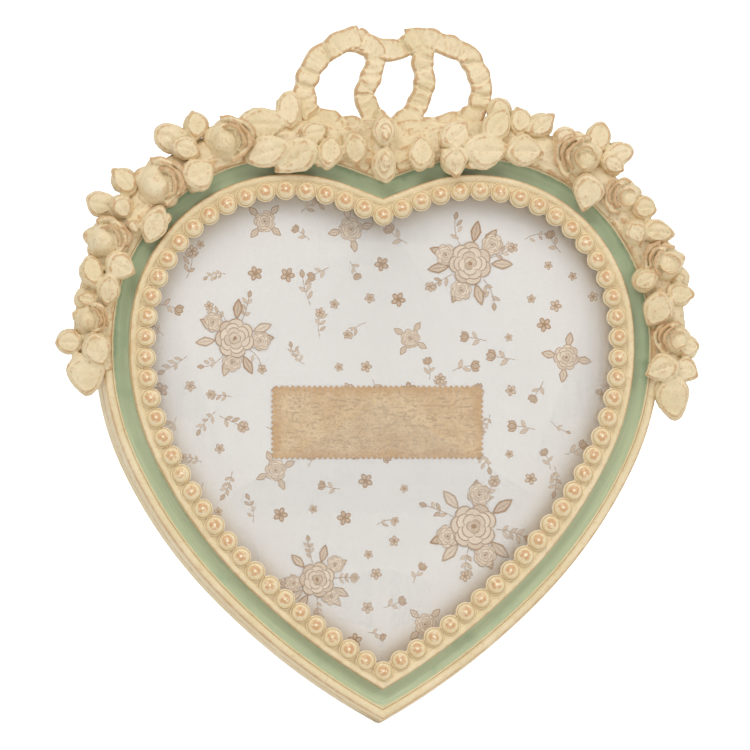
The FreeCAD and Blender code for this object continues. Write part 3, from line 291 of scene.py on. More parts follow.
# %% [markdown]
# ## Antiqued paint
# The casting is sprayed cream, a brown wash is brushed on and wiped off, and the high edges are rubbed. The
# wash stays as a greenish brown in the hollows, and the rubbed edges turn orange brown. The same effect is
# on the moulding, the bead rim, the leaves, the roses and the bow, so it is one node group. It reads two
# masks that each mesh carries, rubbed and hollow, and breaks them up with noise.


# %% Antiqued paint group
def antique_group():
    """Paint, rub and wash, from the masks rubbed and hollow."""
    tree = bpy.data.node_groups.new("antiqued paint", "ShaderNodeTree")
    for name, kind in (("Paint", "Color"), ("Rub", "Color"), ("Wash", "Color"), ("Rubbed", "Float"),
                       ("Hollow", "Float"), ("Mottle", "Float")):
        tree.interface.new_socket(name, in_out="INPUT", socket_type=f"NodeSocket{kind}")
    for name, kind in (("Color", "Color"), ("Height", "Float"), ("Roughness", "Float")):
        tree.interface.new_socket(name, in_out="OUTPUT", socket_type=f"NodeSocket{kind}")
    given = node(tree, "NodeGroupInput").outputs
    cloud = noise(tree, 90, 4)
    grain = noise(tree, 900, 4, 0.65)
    broken = noise(tree, 420, 3)
    fleck = noise(tree, 620, 6, 0.72)
    deeper = mixed(tree, 1.0, given["Paint"], (0.90, 0.88, 0.80, 1), "MULTIPLY")
    mottle = math_node(tree, "MULTIPLY", spread(tree, cloud, 0.35, 0.65), given["Mottle"])
    colour = mixed(tree, mottle, given["Paint"], deeper)
    wash = math_node(tree, "ADD", given["Hollow"], math_node(tree, "MULTIPLY", broken, 0.4))
    colour = mixed(tree, spread(tree, fleck, 0.50, 0.70, 0, 0.38), colour, given["Rub"])
    colour = mixed(tree, spread(tree, fleck, 0.50, 0.30, 0, 0.22), colour, given["Wash"])
    colour = mixed(tree, spread(tree, wash, 0.28, 1.15, 0, 0.85), colour, given["Wash"])
    rub = math_node(tree, "ADD", given["Rubbed"], broken)
    rub = spread(tree, rub, 0.60, 1.28, 0, 0.80)
    colour = mixed(tree, rub, colour, given["Rub"])
    height = math_node(tree, "ADD", math_node(tree, "MULTIPLY", grain, 0.35), cloud)
    rough = spread(tree, grain, 0.3, 0.7, 0.46, 0.62)
    node(tree, "NodeGroupOutput", {"Color": colour, "Height": height, "Roughness": rough})
    return tree


ANTIQUE = antique_group()
print("group", ANTIQUE.name, "with", len(ANTIQUE.nodes), "nodes")


# %% Painted resin
def painted(name, paint, rub, wash):
    """Cast resin in one paint, with rubbed edges and washed hollows."""
    made, tree = blank(name)
    group = node(tree, "ShaderNodeGroup", node_tree=ANTIQUE)
    for socket, value in (("Paint", paint), ("Rub", rub), ("Wash", wash), ("Mottle", 0.8)):
        group.inputs[socket].default_value = value
    tree.links.new(masked(tree, "rubbed"), group.inputs["Rubbed"])
    tree.links.new(masked(tree, "hollow"), group.inputs["Hollow"])
    surface(tree, group.outputs["Color"], group.outputs["Roughness"], group.outputs["Height"], 0.25,
            Specular_IOR_Level=0.35)
    return made


CREAM = srgb(237, 219, 182)
RUB = srgb(200, 157, 110)
WASH = srgb(172, 153, 114)
cream = painted("cream_resin", CREAM, RUB, WASH)
print("material", cream.name)

# %% [markdown]
# ## The heart line
# Everything on the front follows one line: the seam between the green hollow and the bead rim. It is a
# straight beside the notch and four arcs down each side. A section carried along it keeps its shape, and
# a spin about each arc's centre does exactly that, which a curve with a bevel object would only
# approximate. The half heart is cut at the middle and mirrored, so its notch and its tip are true mitres.

# %% Heart line
SLOPE = math.radians(21.2)
STRAIGHT = 9.95
ARCS = ((42.5, 102.7), (66.1, 33.6), (117.4, 18.7), (178.7, None))


def outward(heading):
    """The direction out of the heart where its line has a heading."""
    return Vector((-math.sin(heading), math.cos(heading), 0))


def heart_arcs(reach=0.0):
    """Centre, radius, first heading and turn of each arc of the line at a reach from the heart line."""
    heading = SLOPE
    start = toward(SLOPE) * STRAIGHT
    arcs = []
    for radius, turn in ARCS:
        centre = start - outward(heading) * radius
        if turn is None:
            turned = heading + math.pi + math.asin(centre.x / (radius + reach))
        else:
            turned = math.radians(turn)
        arcs.append((centre, radius + reach, heading, turned))
        heading -= turned
        start = centre + outward(heading) * radius
    return arcs


HEART_LENGTH = STRAIGHT + sum(radius * turn for _, radius, _, turn in heart_arcs())
print("half the heart line is", round(HEART_LENGTH, 2), "mm")


# %% Points on the heart line
def heart_points(reach, count):
    """Evenly spaced points on the right half of the line at a reach, from notch to tip."""
    notch = Vector((0, reach / math.cos(SLOPE), 0))
    corner = toward(SLOPE) * STRAIGHT + outward(SLOPE) * reach
    arcs = heart_arcs(reach)
    straight = (corner - notch).length
    total = straight + sum(radius * turn for _, radius, _, turn in arcs)
    points = []
    for index in range(count):
        along = total * index / (count - 1)
        if along <= straight:
            points.append(notch.lerp(corner, along / straight))
            continue
        along -= straight
        for number, (centre, radius, heading, turn) in enumerate(arcs):
            if along <= radius * turn or number == len(arcs) - 1:
                points.append(centre + outward(heading - along / radius) * radius)
                break
            along -= radius * turn
    return points


def heart_outline(reach, count, level):
    """Points all round the heart at a reach and a level."""
    half = heart_points(reach, count)
    return [Vector((p.x, p.y, level)) for p in half] + [Vector((-p.x, p.y, level)) for p in half[-2:0:-1]]


print("tip at", [round(c, 1) for c in heart_points(0, 2)[-1]])


# %% Places along the heart line
def heart_place(share, reach, side):
    """The point at a share of the heart line and a reach outside it, and the outward direction there."""
    along = share * HEART_LENGTH
    if along <= STRAIGHT:
        out = outward(SLOPE)
        point = toward(SLOPE) * along
    else:
        along -= STRAIGHT
        for centre, radius, heading, turn in heart_arcs():
            if along <= radius * turn:
                break
            along -= radius * turn
        out = outward(heading - along / radius)
        point = centre + out * radius
    point = point + out * reach
    return Vector((side * point.x, point.y, 0)), Vector((side * out.x, out.y, 0))


print("widest point", [round(c, 1) for c in heart_place(0.45, 8, 1)[0]])

# %% Section carried along the heart line
PAST_MIDDLE = 12
STEP = 2.0


def carried(section, begin, last_share=None, step=STEP):
    """A closed section (reach, level, rubbed, hollow) carried along the right half of the heart line."""
    shape = bmesh.new()
    layers = [shape.verts.layers.float.new(name) for name in ("rubbed", "hollow")]
    along = toward(SLOPE)
    verts = []
    for reach, level, *values in section:
        vert = shape.verts.new(along * begin + outward(SLOPE) * reach + Vector((0, 0, level)))
        for layer, value in zip(layers, values):
            vert[layer] = value
        verts.append(vert)
    edges = [shape.edges.new((first, second)) for first, second in zip(verts, verts[1:] + verts[:1])]
    made = bmesh.ops.extrude_edge_only(shape, edges=edges)["geom"]
    verts = [item for item in made if isinstance(item, bmesh.types.BMVert)]
    bmesh.ops.translate(shape, verts=verts, vec=along * (STRAIGHT - begin))
    geom = verts + [item for item in made if isinstance(item, bmesh.types.BMEdge)]
    left = None if last_share is None else last_share * HEART_LENGTH - STRAIGHT
    for number, (centre, radius, _, turn) in enumerate(heart_arcs()):
        if left is not None:
            turn = min(turn, left / radius)
            left -= turn * radius
        elif number == len(ARCS) - 1:
            turn += PAST_MIDDLE / radius
        if turn <= 0:
            break
        steps = max(2, round(turn * radius / step))
        geom = bmesh.ops.spin(shape, geom=geom, cent=centre, axis=(0, 0, -1), angle=turn,
                              steps=steps)["geom_last"]
    return shape


def ring(section):
    """A closed section carried all round the heart."""
    shape = carried(section, -PAST_MIDDLE)
    bmesh.ops.bisect_plane(shape, geom=all_of(shape), plane_co=(0, 0, 0), plane_no=(-1, 0, 0),
                           clear_outer=True)
    bmesh.ops.mirror(shape, geom=all_of(shape), matrix=Matrix.Identity(4), merge_dist=0.001, axis="X")
    bmesh.ops.remove_doubles(shape, verts=shape.verts, dist=0.0005)
    bmesh.ops.recalc_face_normals(shape, faces=shape.faces)
    return shape


print("sections are carried in steps of", STEP, "mm")

# %% [markdown]
# ## Finishing a piece
# Every carved, cast or paper piece ends the same way: its mesh is stood up with the panel, its sharp corners
# are marked, and it rides on the frame. It takes its material, the solids that it stands for, where given,
# are hidden, and its name and its number of faces are printed.


# %% Finishing a piece
def settle(name, mesh, material, replaced=(), sharp=42):
    """An object from a bmesh or a mesh in panel millimetres, placed, painted and tied to the frame."""
    if isinstance(mesh, bmesh.types.BMesh):
        mesh = as_mesh(name, mesh)
    mesh.name = name
    mesh.transform(PANEL)
    mesh.materials.clear()
    mesh.materials.append(material)
    mesh.shade_smooth()
    mesh.set_sharp_from_angle(angle=math.radians(sharp))
    made = placed(name, mesh)
    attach(made, "frame")
    if replaced:
        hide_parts(*replaced)
    print(name, len(mesh.polygons), "faces")
    return made


def masks(mesh, **values):
    """Masks on the points of a mesh."""
    for name, numbers in values.items():
        layer = mesh.attributes.get(name) or mesh.attributes.new(name, "FLOAT", "POINT")
        layer.data.foreach_set("value", np.asarray(numbers, np.float32))


def points_of(mesh):
    """The places of a mesh's points as an array."""
    places = np.empty(len(mesh.vertices) * 3, np.float32)
    mesh.vertices.foreach_get("co", places)
    return places.reshape(-1, 3)


print("slots", [m["slot"] for m in record["materials"]])

# %% [markdown]
# ## Moulding
# The outer moulding is a side wall with a fine groove, a round ridge and a thin bead beside the green. Its
# section is drawn once with the masks for the brown rub on the ridge and the wash in the groove, and
# carried round the heart. The solid could be kept and painted, but its triangles can't carry these masks.
# The heart's tip is cut level, so that the frame stands on a small flat.


# %% Moulding
def wall(level):
    """Reach of the drafted side wall at a level."""
    return WALL_REACH - WALL_DRAFT * level / RIDGE_LEVEL


RIDGE_REACH, RIDGE_LEVEL, RIDGE_RADIUS = 5.85, 9.3, 1.15
WALL_REACH, WALL_DRAFT = 8.35, 1.35
HOLLOW_WIDTH, HOLLOW_BACK = 4.2, 6.2
moulding = [(-2.3, 0, 0, 0), (8.1, 0, 0.3, 0), (8.32, 0.25, 0.5, 0), (wall(1), 1, 0.1, 0.2),
            (wall(4.3), 4.3, 0.1, 0.1), (wall(4.7), 4.7, 0.4, 0), (wall(5.1) - 0.3, 5.1, 0, 0.8),
            (wall(5.5), 5.5, 0.4, 0), (wall(6), 6, 0.1, 0.1), (wall(8.7), 8.7, 0.1, 0.2)]
for index in range(13):
    angle = math.radians(15 * index)
    rubbed = 0.6 * math.exp(-(((15 * index - 38) / 24) ** 2))
    moulding.append((RIDGE_REACH + RIDGE_RADIUS * math.cos(angle),
                     RIDGE_LEVEL + RIDGE_RADIUS * math.sin(angle), rubbed, 0.8 if index == 12 else 0))
moulding += [(4.66, 9.42, 0.5, 0.2), (4.56, 9.54, 0.1, 0), (4.45, 9.58, 0, 0), (4.32, 9.54, 0, 0),
             (HOLLOW_WIDTH, RIDGE_LEVEL, 0.2, 0.3), (HOLLOW_WIDTH, HOLLOW_BACK, 0, 0),
             (-2.3, HOLLOW_BACK, 0, 0)]
shape = ring(moulding)
cut = bmesh.ops.bisect_plane(shape, geom=all_of(shape), plane_co=PANEL.inverted() @ Vector(),
                             plane_no=(0, math.cos(LEAN), math.sin(LEAN)), clear_inner=True)["geom_cut"]
bmesh.ops.triangle_fill(shape, edges=[item for item in cut if isinstance(item, bmesh.types.BMEdge)])
settle("moulding", shape, cream, ["frame_moulding"])

# %% [markdown]
# ## Green hollow
# The hollow is painted sage green with a brush drawn along it: it is lighter and thinner at its outer edge,
# with fine streaks along its length, and a thin painted shade lies beside the bead rim, where its wall rises.
# A mask that runs across the hollow gives these: slow noise along the hollow and fast noise across it make
# the streaks. A second mask paints shade into the green at the top of the heart, where the garland hangs
# over it, darkest at the outer edge beside the garland.

# %% Green hollow
hollow_section = [(0, HOLLOW_BACK, 0, 0), (HOLLOW_WIDTH, HOLLOW_BACK, 0, 0)]
for index in range(13):
    share = 1 - index / 12
    level = 7.6 + 1.7 * share - 2.2 * share * (1 - share)
    hollow_section.append((HOLLOW_WIDTH * share, level, 0, 0))
mesh = as_mesh("green_hollow", ring(hollow_section))
heart_dots = np.array([(side * p.x, p.y) for side in (1, -1) for p in heart_points(0, 600)])
places = points_of(mesh)
across = np.concatenate([
    np.sqrt(((places[start:start + 500, None, :2] - heart_dots[None]) ** 2).sum(2)).min(1)
    for start in range(0, len(places), 500)])
masks(mesh, across=across / HOLLOW_WIDTH, upper=np.clip((places[:, 1] + 62) / 22, 0, 1))
print("across from", round(float(across.min()), 2), "to", round(float(across.max()), 2))

# %% Green paint
green, tree = blank("sage_green")
share = masked(tree, "across")
fast = node(tree, "ShaderNodeCombineXYZ", {"X": math_node(tree, "MULTIPLY", share, 16.0)}).outputs[0]
drawn = node(tree, "ShaderNodeVectorMath", {0: stretched(tree, (60, 60, 60)), 1: fast},
             operation="ADD").outputs[0]
streak = noise(tree, 1.0, 4, 0.7, drawn)
cloud = noise(tree, 120, 4)
speck = noise(tree, 700, 3)
colour = mixed(tree, spread(tree, share, 0.0, 0.75), srgb(187, 198, 167), srgb(180, 193, 157))
colour = mixed(tree, spread(tree, streak, 0.48, 0.70, 0, 0.7), colour, srgb(206, 211, 176))
colour = mixed(tree, spread(tree, cloud, 0.5, 0.75, 0, 0.5), colour, srgb(150, 170, 140))
# Painted shade: the green is darker at the top of the heart, where the garland hangs over the hollow, and
# darkest at its outer edge beside the garland.
upper = masked(tree, "upper")
colour = mixed(tree, math_node(tree, "MULTIPLY", upper, 0.42), colour, srgb(146, 170, 138))
deep = math_node(tree, "ADD", share, math_node(tree, "MULTIPLY", cloud, 0.9))
deep = math_node(tree, "MULTIPLY", upper, spread(tree, deep, 1.10, 1.5, 0, 0.65))
colour = mixed(tree, deep, colour, srgb(104, 124, 92))
edge = math_node(tree, "ADD", share, math_node(tree, "MULTIPLY", speck, 0.16))
colour = mixed(tree, spread(tree, edge, 1.02, 1.10, 0, 0.85), colour, srgb(214, 205, 164))
# Painted shade: a thin darker line in the corner where the bead rim's wall rises from the green.
inner = math_node(tree, "ADD", share, math_node(tree, "MULTIPLY", speck, -0.06))
colour = mixed(tree, spread(tree, inner, 0.05, -0.02, 0, 0.6), colour, srgb(150, 152, 118))
height = math_node(tree, "ADD", streak, math_node(tree, "MULTIPLY", speck, 0.3))
surface(tree, colour, spread(tree, cloud, 0.3, 0.7, 0.34, 0.5), height)
settle("green_hollow", mesh, green, ["green_cove"])

# %% [markdown]
# ## Bead rim and beads
# The pearls stand on a ledge, each in a shallow cup of its own. The cups touch, so the inner edge of the rim
# is scalloped. One bead with its cup is a small section spun full circle. It is copied to even places
# along the rim, and each copy knows where its middle is, so that the brown stain lies as a broken ring
# about the crown of every bead, where a rag wiped it off again, and a painted highlight lies on the crown,
# up and to the left of the middle.

# %% Bead rim
ledge = [(-2.3, 6.2, 0, 0), (0, 6.2, 0, 0), (0, 10.2, 0.2, 0.2), (-0.03, 10.5, 0.5, 0),
         (-0.17, 10.77, 0.7, 0), (-0.4, 10.88, 0.3, 0), (-0.8, 10.9, 0.1, 0), (-1.3, 10.86, 0, 0.1),
         (-1.6, 10.7, 0, 0.1), (-1.9, 10.3, 0, 0.3), (-2.2, 10.2, 0, 0.2), (-5.1, 10.2, 0, 0.2),
         (-5.3, 10.0, 0, 0), (-5.3, 7.0, 0, 0), (-2.3, 7.0, 0, 0)]
settle("bead_ledge", ring(ledge), cream, ["bead_rim"])

# %% Beads
BEAD_INSET, BEAD_RADIUS, BEAD_LEVEL, SPACES = 4.15, 2.3, 10.6, 37
draft = random.Random(4)
half = heart_points(-BEAD_INSET, SPACES + 1)
middles = half + [Vector((-p.x, p.y, 0)) for p in half[1:-1]]
section = [(0, BEAD_RADIUS)] + [
    (BEAD_RADIUS * math.sin(math.radians(a)), BEAD_RADIUS * math.cos(math.radians(a)))
    for a in (14, 28, 42, 55, 67, 78, 86)]
section += [(2.32, 0.02), (2.42, 0.10), (2.56, 0.22), (2.70, 0.10), (2.80, -0.25), (2.76, -0.9), (0, -1.0)]
one = bmesh.new()
verts = [one.verts.new((radius, 0, height)) for radius, height in section]
edges = [one.edges.new(pair) for pair in zip(verts, verts[1:])]
bmesh.ops.spin(one, geom=verts + edges, cent=(0, 0, 0), axis=(0, 0, 1), angle=2 * math.pi, steps=22,
               use_merge=True)
bmesh.ops.remove_doubles(one, verts=one.verts, dist=0.001)
bmesh.ops.recalc_face_normals(one, faces=one.faces)
bead_mesh = as_mesh("one_bead", one)
row = bmesh.new()
for middle in middles:
    start = len(row.verts)
    row.from_mesh(bead_mesh)
    row.verts.ensure_lookup_table()
    turn = Matrix.Rotation(draft.uniform(0, 6.3), 4, "Z")
    size = draft.uniform(0.97, 1.02)
    place = Matrix.Translation(middle + Vector((0, 0, BEAD_LEVEL + draft.uniform(-0.1, 0.08))))
    bmesh.ops.transform(row, matrix=place @ turn @ Matrix.Scale(size, 4), verts=row.verts[start:])
mesh = as_mesh("beads", row)
places = points_of(mesh)
centres = np.array([(p.x, p.y) for p in middles])
offset = places[:, None, :2] - centres[None]
nearest = (offset ** 2).sum(2).argmin(1)
offset = offset[np.arange(len(places)), nearest] / BEAD_RADIUS
masks(mesh, bead_across=offset[:, 0], bead_up=offset[:, 1], bead_number=nearest)
print(len(middles), "beads", len(mesh.polygons), "faces")


# %% Bead paint
def length_of(tree, x, y):
    """How far a point given by two masks lies from the middle."""
    vector = node(tree, "ShaderNodeCombineXYZ", {"X": x, "Y": y}).outputs[0]
    return node(tree, "ShaderNodeVectorMath", {0: vector}, operation="LENGTH").outputs["Value"]


pearl, tree = blank("antique_pearl")
beside, above = masked(tree, "bead_across"), masked(tree, "bead_up")
apart = math_node(tree, "MULTIPLY", masked(tree, "bead_number"), 3.7)
spot = node(tree, "ShaderNodeCombineXYZ", {"X": beside, "Y": above, "Z": apart}).outputs[0]
patch = noise(tree, 2.2, 4, 0.7, spot)
far = length_of(tree, math_node(tree, "ADD", beside, 0.08), math_node(tree, "ADD", above, -0.12))
halo = math_node(tree, "MULTIPLY", spread(tree, far, 0.02, 0.26), spread(tree, far, 0.80, 0.40))
stain = math_node(tree, "MULTIPLY", halo, spread(tree, patch, 0.34, 0.58, 0.25, 1))
edge = length_of(tree, beside, above)
colour = mixed(tree, spread(tree, patch, 0.4, 0.65, 0, 0.8), srgb(240, 223, 184), srgb(235, 211, 166))
colour = mixed(tree, spread(tree, stain, 0.0, 0.9, 0, 0.85), colour, srgb(204, 150, 98))
# Painted highlight: a bright spot on the crown of each bead, up and to the left of its middle.
colour = mixed(tree, spread(tree, far, 0.20, 0.05, 0, 0.7), colour, srgb(252, 240, 214))
colour = mixed(tree, spread(tree, edge, 0.90, 1.0, 0, 0.5), colour, srgb(212, 190, 148))
colour = mixed(tree, spread(tree, edge, 1.0, 1.06), colour, srgb(240, 223, 190))
surface(tree, colour, spread(tree, edge, 0.8, 1.0, 0.22, 0.5), patch, 0.35, 0.0004)
settle("pearl_row", mesh, pearl, ["beads"])

# %% [markdown]
# ## Carving helpers
# The garland was carved in clay and cast, so leaves, petals and their ground run into each other with soft
# creases. Each piece starts as rough closed forms that overlap, and a voxel remesh melts them into one
# skin, as clay would. Subdivision surfaces would keep every form apart. The masks come from the skin
# itself: where a point stands out from the average of its surroundings the paint is rubbed, and where it
# lies deeper the wash stays. The forms also carry the lines that a painter would follow, rim and rib, and
# each point of the skin takes them from the nearest point of the forms.


# %% Painter's lines
def mask_of(mesh, name):
    """A mask on a mesh's points as an array, or zeros."""
    values = np.zeros(len(mesh.vertices), np.float32)
    if name in mesh.attributes:
        mesh.attributes[name].data.foreach_get("value", values)
    return values


def line_layers(shape):
    """The layers of a bmesh for the painter's lines, rim and rib."""
    floats = shape.verts.layers.float
    return [floats.get(name) or floats.new(name) for name in ("rim", "rib")]


print("lines named rim and rib")


# %% Remesh
def melted(shape, voxel, smooth, knead):
    """One skin over the overlapping closed forms of a bmesh, kneaded a little by hand."""
    bmesh.ops.recalc_face_normals(shape, faces=shape.faces)
    rough = as_mesh("rough", shape)
    holder = placed("rough", rough)
    remesh = holder.modifiers.new("melt", "REMESH")
    remesh.mode = "VOXEL"
    remesh.voxel_size = voxel
    soften = holder.modifiers.new("soften", "SMOOTH")
    soften.factor = 0.5
    soften.iterations = smooth
    graph = bpy.context.evaluated_depsgraph_get()
    mesh = bpy.data.meshes.new_from_object(holder.evaluated_get(graph))
    near = KDTree(len(rough.vertices))
    for vert in rough.vertices:
        near.insert(vert.co, vert.index)
    near.balance()
    nearest = [near.find(vert.co)[1] for vert in mesh.vertices]
    masks(mesh, **{name: mask_of(rough, name)[nearest] for name in ("rim", "rib")})
    bpy.data.objects.remove(holder)
    bpy.data.meshes.remove(rough)
    for vert, along in zip(mesh.vertices, [n.vector.copy() for n in mesh.vertex_normals]):
        lump = 0.26 * perlin(vert.co * 0.42) + 0.10 * perlin(vert.co * 1.3)
        vert.co += along * lump * knead
    mesh.update()
    return mesh


print("forms melt into one skin")


# %% Wear
def averaged(values, first, second, degree):
    """The average of each point's neighbours, from the two ends of every edge."""
    count = len(values)
    return (np.bincount(first, values[second], count) + np.bincount(second, values[first], count)) / degree


def worn(mesh, rounds=(7, 26), depths=(0.12, 0.42)):
    """Masks rubbed, where a point stands out from its near surroundings, and hollow, where it lies deep."""
    places = points_of(mesh).astype(float)
    count = len(places)
    ends = np.empty(len(mesh.edges) * 2, np.int32)
    mesh.edges.foreach_get("vertices", ends)
    first, second = ends.reshape(-1, 2).T
    degree = np.bincount(first, minlength=count) + np.bincount(second, minlength=count)
    normals = np.empty(count * 3, np.float32)
    mesh.vertex_normals.foreach_get("vector", normals)
    soft, stands = places.copy(), []
    for number in range(rounds[1]):
        soft = np.stack([averaged(soft[:, axis], first, second, degree) for axis in range(3)], 1)
        if number + 1 in rounds:
            stands.append(((places - soft) * normals.reshape(-1, 3)).sum(1) / depths[len(stands)])
    lines = []
    for name in ("rim", "rib"):
        line = mask_of(mesh, name)
        lines.append(0.5 * line + 0.5 * averaged(line, first, second, degree))
        mesh.attributes.remove(mesh.attributes[name])
    masks(mesh, rubbed=np.clip(0.85 * stands[0] - 0.2 + 0.4 * lines[0], 0, 1),
          hollow=np.clip(np.maximum(-stands[0] * 0.6, -stands[1]) - 0.15 + 0.1 * lines[1], 0, 1))
    return mesh


FINE, COARSE = 0.24, 0.34


def carve(name, shape, voxel=FINE, smooth=3, knead=0.7):
    """A carved and painted piece that stands for a node of the garland or the bow."""
    mesh = worn(melted(shape, voxel, smooth, knead))
    settle("carved_" + name, mesh, cream, [name], sharp=180)


print("voxels of", FINE, "and", COARSE, "mm")


# %% Leaf form
def smooth_step(low, high, value):
    """0 below low, 1 above high and a smooth climb between them."""
    share = min(max((value - low) / (high - low), 0), 1)
    return share * share * (3 - 2 * share)


def thickened(shape, made, thick, place):
    """Gives an open sheet its thickness, and puts it in its place."""
    faces = {face for vert in made for face in vert.link_faces}
    grown = bmesh.ops.solidify(shape, geom=list(faces), thickness=thick)["geom"]
    verts = set(made) | {item for item in grown if isinstance(item, bmesh.types.BMVert)}
    bmesh.ops.transform(shape, matrix=place, verts=list(verts))


def leaf_form(shape, place, length, width, draft, crown=1.4, lip=0.30, thick=2.6, point=0.4, vein=0.45):
    """A fleshy leaf or petal along +X: a dome with a raised rim, a sunk rib and a round or pointed end."""
    rim, rib = line_layers(shape)
    made = bmesh.ops.create_grid(shape, x_segments=28, y_segments=22, size=1)["verts"]
    bend = draft.uniform(-0.10, 0.10)
    phase = draft.uniform(0, 6.3)
    for vert in made:
        s, t = vert.co.x, vert.co.y
        round_s = s * math.sqrt(1 - 0.5 * t * t)
        round_t = t * math.sqrt(1 - 0.5 * s * s)
        outline = 1 - 0.22 * smooth_step(-0.2, -1.0, round_s)
        outline *= 1 - point * (1 - math.sqrt(1 - min(max(round_s, 0), 1)))
        edge = math.hypot(round_s, round_t)
        angle = math.atan2(t, s)
        wavy = 1 + 0.05 * math.sin(3 * angle + phase) * edge
        level = crown * (1 - edge ** 2.4) + lip * math.exp(-(((edge - 0.76) / 0.10) ** 2))
        level -= vein * math.exp(-((round_t / 0.15) ** 2)) * (1 - smooth_step(0.5, 0.75, edge))
        vert[rim] = math.exp(-(((edge - 0.82) / 0.08) ** 2)) * (0.6 + 0.4 * math.sin(3 * angle + phase))
        vert[rib] = math.exp(-((round_t / 0.10) ** 2)) * (1 - smooth_step(0.4, 0.75, edge))
        vert.co = Vector((0.5 * length * round_s * wavy,
                          0.5 * width * round_t * outline * wavy + bend * width * (round_s ** 2),
                          level))
    thickened(shape, made, thick, place)


print("leaf form ready")


# %% Rose form
def petal_form(shape, place, radius, height, reach, draft, thick):
    """A curled petal: a strip of a cup that covers an angle, with a rolled and ruffled rim."""
    rim, _ = line_layers(shape)
    made = bmesh.ops.create_grid(shape, x_segments=22, y_segments=9, size=1)["verts"]
    phase = draft.uniform(0, 6.3)
    for vert in made:
        angle = vert.co.x * reach
        up = 0.5 + 0.5 * vert.co.y
        fade = 1 - 0.55 * abs(vert.co.x) ** 3
        ruffle = 0.06 * math.sin(4 * angle + phase) + 0.03 * math.sin(11 * angle + 2 * phase)
        out = radius * (0.78 + 0.22 * math.sin(up * 1.57) + 0.20 * smooth_step(0.72, 1.0, up)
                        + ruffle * up)
        level = height * fade * (math.sin(up * 1.75) + 0.8 * ruffle * up)
        vert[rim] = 0.8 * smooth_step(0.72, 0.95, up)
        vert.co = Vector((out * math.cos(angle), out * math.sin(angle), level))
    thickened(shape, made, thick, place)


def ball(shape, place, across, up):
    """A round lump."""
    made = bmesh.ops.create_icosphere(shape, subdivisions=3, radius=1)["verts"]
    bmesh.ops.transform(shape, matrix=place @ Matrix.Diagonal((across, across, up, 1)), verts=made)


def rose_form(shape, place, radius, facing, draft):
    """A half open rose: petals curled round a plump middle or an open cup, with broad ones below."""
    cupped = facing > 1
    turned = place @ Matrix.Rotation(facing, 4, "Z")
    ball(shape, turned @ Matrix.Translation((0, 0, -0.28 * radius)), 0.96 * radius, 0.72 * radius)
    ball(shape, turned @ Matrix.Translation((-0.20 * radius, 0, 0.10 * radius)), 0.60 * radius,
         (0.42 if cupped else 0.68) * radius)
    curls = ((0.66, 0.84, 1.35, 0.1), (0.84, 0.58, 1.5, -0.3), (1.00, 0.34, 1.25, 0.4))
    for size, height, reach, turn in curls:
        shift = Matrix.Translation(((0.80 - size) * -0.3 * radius, 0, 0))
        petal_form(shape, turned @ shift @ Matrix.Rotation(turn + draft.uniform(-0.2, 0.2), 4, "Z"),
                   size * radius, height * radius, reach, draft, 0.13 * radius)
    if cupped:
        petal_form(shape, turned @ Matrix.Translation((-0.20 * radius, 0, 0.20 * radius))
                   @ Matrix.Rotation(draft.uniform(0, 6.3), 4, "Z"), 0.46 * radius, 0.56 * radius, 2.5, draft,
                   0.12 * radius)
    for index in range(4):
        angle = 1.25 + 1.22 * index + draft.uniform(-0.15, 0.15)
        lobe = (turned @ Matrix.Rotation(angle, 4, "Z")
                @ Matrix.Translation((0.62 * radius, 0, -0.30 * radius)))
        leaf_form(shape, lobe @ Matrix.Rotation(-0.22, 4, "Y"), 1.05 * radius, 1.15 * radius, draft,
                  crown=0.8, lip=0.36, thick=2.0, point=0.3, vein=0.2)


print("rose form ready")

# %% [markdown]
# ## Garland
# Where each rose and leaf lies is a designer's choice, given as shares: its place along the heart line, its
# reach, its size and its rise, and for a leaf the way that it points. These are the same values as the
# model's own, so each carved piece covers its solid.

